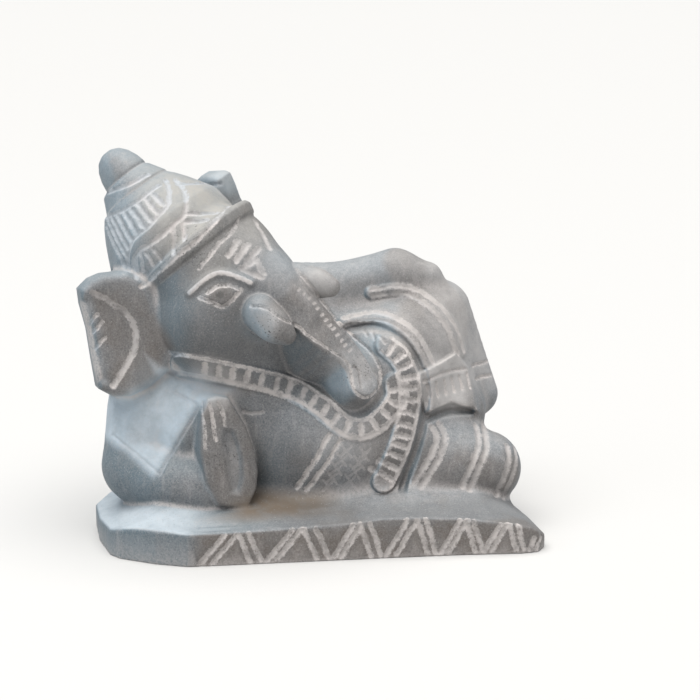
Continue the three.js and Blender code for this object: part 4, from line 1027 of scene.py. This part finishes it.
def weathering_and_painted_light(stone, mesh):
    """Stores on each point its painted shade in hollows and between ticks, its pale sharp edges, its painted light, its
    warm and cool shares, and where it is dusty, stained or pitted.
    """
    co = np.empty(len(mesh.vertices) * 3, np.float32)
    mesh.vertices.foreach_get("co", co)
    p = co.reshape(-1, 3) / MM - SEAT
    x, y, z = p.T
    u, w, v = on_view(p).T
    _, out, up = ((p - BRIM) @ HEAD.T).T
    normal = stone.slope(p, 0.6)

    def around(cu, cv, reach):
        return ease(1.6 - np.hypot(u - cu, v - cv) / reach)

    def most(places, *others):
        """The largest of the shares at their places, and of others."""
        return np.maximum.reduce([share * around(*place) for share, *place in places] + list(others))

    def mark(name, values):
        store(mesh, name, np.clip(values, 0, 1))

    def feel(reach, coarse=False):
        """How full of stone the place above each point is, or how empty the place below it where reach is negative."""
        return 1 - stone.look_up(p + normal * reach, coarse) / reach

    # the way that the stone faces, and the parts of the piece
    front, toward = w > VIEW_BACK, rising(w - VIEW_BACK, -2, 12)
    above = rising(normal[:, 2], 0.35, 0.6)
    leftward = rising(-normal[:, 0], 0.15, 0.5)
    facing_front = rising(-normal[:, 1], 0.3, 0.5) * falling(normal[:, 2], 0.75, 0.5) * (1 - leftward)
    plinth_top, plinth_side = falling(z, 12, 2) * above, falling(z, 9, 2)
    shoulder = np.maximum(falling(outline_distance(SHOULDER, u, v), 1.5, 3),
                          0.9 * around(-42.5, -5.2, 3) * falling(v, -3.2, 1.5))
    in_hollow = falling(outline_distance(PALM_HOLLOW, u, v), 1.5, 3)
    crown, right = rising(up, -1, 3) * falling(up, 36, 8), rising(out, -1, 12)
    brow = rising(out, 3, 8) * rising(up, -16, 8) * falling(up, 4, 6)
    palm, ear = (p - PALM_PLACE) @ PALM_AXES.T, (p - EAR_PLACE) @ EAR_AXES.T
    hand = falling(outline_distance(PALM, palm[:, 0], palm[:, 2]), 0.6, 1.2) * rising(palm[:, 1], 1.4, 1.2)
    hand *= 1 - 0.8 * in_hollow
    shell = falling(outline_distance(EAR, ear[:, 0], ear[:, 2]), -1.2, 2) * rising(ear[:, 1], 2.5, 1.5)

    # Painted shade: darker in creases and hollows, thin at the left where light falls, and darker on the cheek, under
    # the trunk, at the belly's foot and on the plinth's top at the right.
    shade = most(SHADE_PLACES, 0.7 * plinth_top * rising(u, -20, 12))
    left = 1 - 0.9 * falling(u, -28, 8)
    mark("painted_shade", (feel(0.9) * 0.5 + np.clip(feel(3.2, coarse=True), 0, 1) * 0.4) * left + shade * front)
    # Pale on sharp edges: partly wear, partly a painted highlight.
    mark("edge", np.clip(feel(-0.9) * 3.0 - 0.35, 0, 1) * (1 - 0.8 * around(-42, 5, 6)))

    # painted light: paler on the shoulder, the chest, the plinth's top at the left, the trunk, the tusks and the raised
    # leg
    broadly = np.maximum.reduce([plinth_top * falling(u, -30, 10), 0.25 * rising(v, 12, 8) * (1 - brow),
                                 0.75 * rising(u, 14, 10) * rising(v, -14, 8) * rising(w, -25, 15)])
    mark("worn", np.maximum(most(LIT_PLACES, shoulder, 0.35 * in_hollow) * toward, broadly))
    mark("dust", 0.9 * crown * right + 0.3 * brow + 0.2 * above)

    # warm on the plinth's front, the palm, the ear's inside, the trunk and the folds; cool on what faces left. Both are
    # partly painted light, warm from the front and cool from the left and above, and partly the stone's own tones
    folds = facing_front * front * rising(u, -6, 14) * falling(v, 2, 10)
    trunk = front * rising(out, 12.5, 2) * falling(up, -20, 5)
    warmth = most([(0.8, *PUPIL, 3)], 0.75 * hand, 0.8 * shell, plinth_side * facing_front * rising(x, -30, 1.5),
                  0.75 * folds, 0.7 * trunk, 0.6 * brow, 0.3 * facing_front * front)
    mark("warm", warmth)
    bluish = most(BLUISH, 0.85 * leftward, 0.9 * shoulder, 0.8 * above * falling(u, -10, 20),
                  0.35 * rising(v, 14, 8) * (1 - right * crown) * (1 - brow), plinth_side * falling(x, -30, 1.5))
    mark("cool", bluish * (1 - warmth))
    mark("stain", rising(x, -24, 8) * falling(x, 8, 12) * falling(z, 15, 3.5) * rising(y, -25, 6) * falling(y, 2, 8))
    mark("pitted", most(PITTED, 0.3 * falling(u, -30, 8) * falling(v, -24, 6), 0.3 * hand) * front)

    # Painted shade in the pupil, and between the raised ticks of the belt and the necklace and in the stripes.
    shade_in_gaps = falling(np.hypot(u - PUPIL[0], v - PUPIL[1]), 1.1, 0.4)
    for line, half, share in BETWEEN:
        shade_in_gaps = np.maximum(shade_in_gaps, share * falling(line_distance(curve(line, 4), u, v), half, 0.5))
    mark("shade_in_gaps", shade_in_gaps * front)


class STATUE_OT_stone(Operator):
    """Carve the statue's stone: form, relief, cut lines and finish"""

    bl_idname = "statue.stone"
    bl_label = "Carve Stone"

    def execute(self, context):
        carving, look = context.scene.statue_carving, context.scene.statue_look
        stone = Stone(carving.step / MM).sample()
        points, faces = stone.surface()
        block = bpy.data.objects.new("carved_block", mesh_of("carved_block", points, faces))
        context.scene.collection.objects.link(block)
        lines = cut_lines(stone)
        material = soapstone(look)
        nodes = block.modifiers.new("Cut lines", "NODES")
        nodes.node_group = cut_lines_tree()
        inputs = {s.name: s.identifier for s in nodes.node_group.interface.items_tree if s.in_out == "INPUT"}
        nodes[inputs["Lines"]] = lines
        nodes[inputs["Unevenness"]] = carving.unevenness
        nodes[inputs["Depth"]] = carving.depth
        nodes[inputs["Material"]] = material
        thin = block.modifiers.new("Thinning", "DECIMATE")
        thin.ratio = min(1.0, carving.faces / (2 * len(faces)))
        depsgraph = context.evaluated_depsgraph_get()
        mesh = bpy.data.meshes.new_from_object(block.evaluated_get(depsgraph), depsgraph=depsgraph)
        mesh.name = "carved_stone"
        piece = bpy.data.objects.new("carved_stone", mesh)
        context.scene.collection.objects.link(piece)
        for spare in (block, lines):
            bpy.data.objects.remove(spare)
        weathering_and_painted_light(stone, mesh)
        mesh.polygons.foreach_set("use_smooth", np.ones(len(mesh.polygons), bool))
        if not mesh.materials:
            mesh.materials.append(material)
        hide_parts(NODE)
        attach(piece, "root")
        return {"FINISHED"}


class STATUE_OT_stage(Operator):
    """Set the pale floor, the soft light and the camera"""

    bl_idname = "statue.stage"
    bl_label = "Set Stage"

    def execute(self, context):
        stage, scene = context.scene.statue_stage, context.scene
        bpy.ops.mesh.primitive_circle_add(vertices=96, radius=200, fill_type="NGON", location=(0, 0, 0))
        floor = context.object
        floor.name = "floor"
        paint = bpy.data.materials.new("Floor")
        paint.use_nodes = True
        shader = paint.node_tree.nodes["Principled BSDF"]
        shader.inputs["Base Color"].default_value = (*stage.floor, 1)
        shader.inputs["Roughness"].default_value = 0.9
        floor.data.materials.append(paint)

        world = bpy.data.worlds.new("Studio")
        world.use_nodes = True
        background = world.node_tree.nodes["Background"]
        background.inputs["Color"].default_value = (0.74, 0.87, 1.0, 1)
        background.inputs["Strength"].default_value = stage.ambient
        scene.world = world

        def light(name, kind, place, **settings):
            lamp = bpy.data.lights.new(name, kind)
            for key, value in settings.items():
                setattr(lamp, key, value)
            made = bpy.data.objects.new(name, lamp)
            made.location = place
            made.rotation_euler = (TARGET - made.location).to_track_quat("-Z", "Y").to_euler()
            scene.collection.objects.link(made)

        light("light_above", "SUN", (-0.05, -0.16, 1.0), energy=stage.above, angle=math.radians(75),
              color=(1.0, 0.975, 0.945))
        light("side_light", "AREA", (-0.75, -0.3, 0.5), shape="DISK", size=0.5, energy=stage.side,
              color=(0.72, 0.86, 1.0))

        lens = bpy.data.cameras.new("camera")
        lens.sensor_width, lens.lens = 36, stage.lens
        lens.clip_start, lens.clip_end = 0.01, 100
        camera = bpy.data.objects.new("camera", lens)
        camera.location = TARGET + Vector(VIEW[1]) * DISTANCE
        camera.rotation_euler = (TARGET - camera.location).to_track_quat("-Z", "Y").to_euler()
        scene.collection.objects.link(camera)
        scene.camera = camera
        scene.view_settings.view_transform = "Standard"
        scene.view_settings.look = "None"
        return {"FINISHED"}


class STATUE_PT_panel(Panel):
    """Lists the settings and the pieces"""

    bl_label = "Reclining Statue"
    bl_idname = "STATUE_PT_panel"
    bl_space_type = "VIEW_3D"
    bl_region_type = "UI"
    bl_category = "Statue"

    def draw(self, context):
        for title, group, operator in (
            ("Stone", "statue_look", None),
            ("Carving", "statue_carving", STATUE_OT_stone),
            ("Stage", "statue_stage", STATUE_OT_stage),
        ):
            box = self.layout.box()
            box.label(text=title)
            settings = getattr(context.scene, group)
            for name in type(settings).__annotations__:
                box.prop(settings, name)
            if operator:
                box.operator(operator.bl_idname)


CLASSES = (StatueLook, StatueCarving, StatueStage, STATUE_OT_stone, STATUE_OT_stage, STATUE_PT_panel)


def register():
    for c in CLASSES:
        bpy.utils.register_class(c)
    bpy.types.Scene.statue_look = PointerProperty(type=StatueLook)
    bpy.types.Scene.statue_carving = PointerProperty(type=StatueCarving)
    bpy.types.Scene.statue_stage = PointerProperty(type=StatueStage)


def unregister():
    for name in ("statue_stage", "statue_carving", "statue_look"):
        delattr(bpy.types.Scene, name)
    for c in reversed(CLASSES):
        bpy.utils.unregister_class(c)


def main():
    register()
    bpy.ops.statue.stone()
    bpy.ops.statue.stage()
    bpy.context.view_layer.update()


if __name__ == "__main__":
    main()
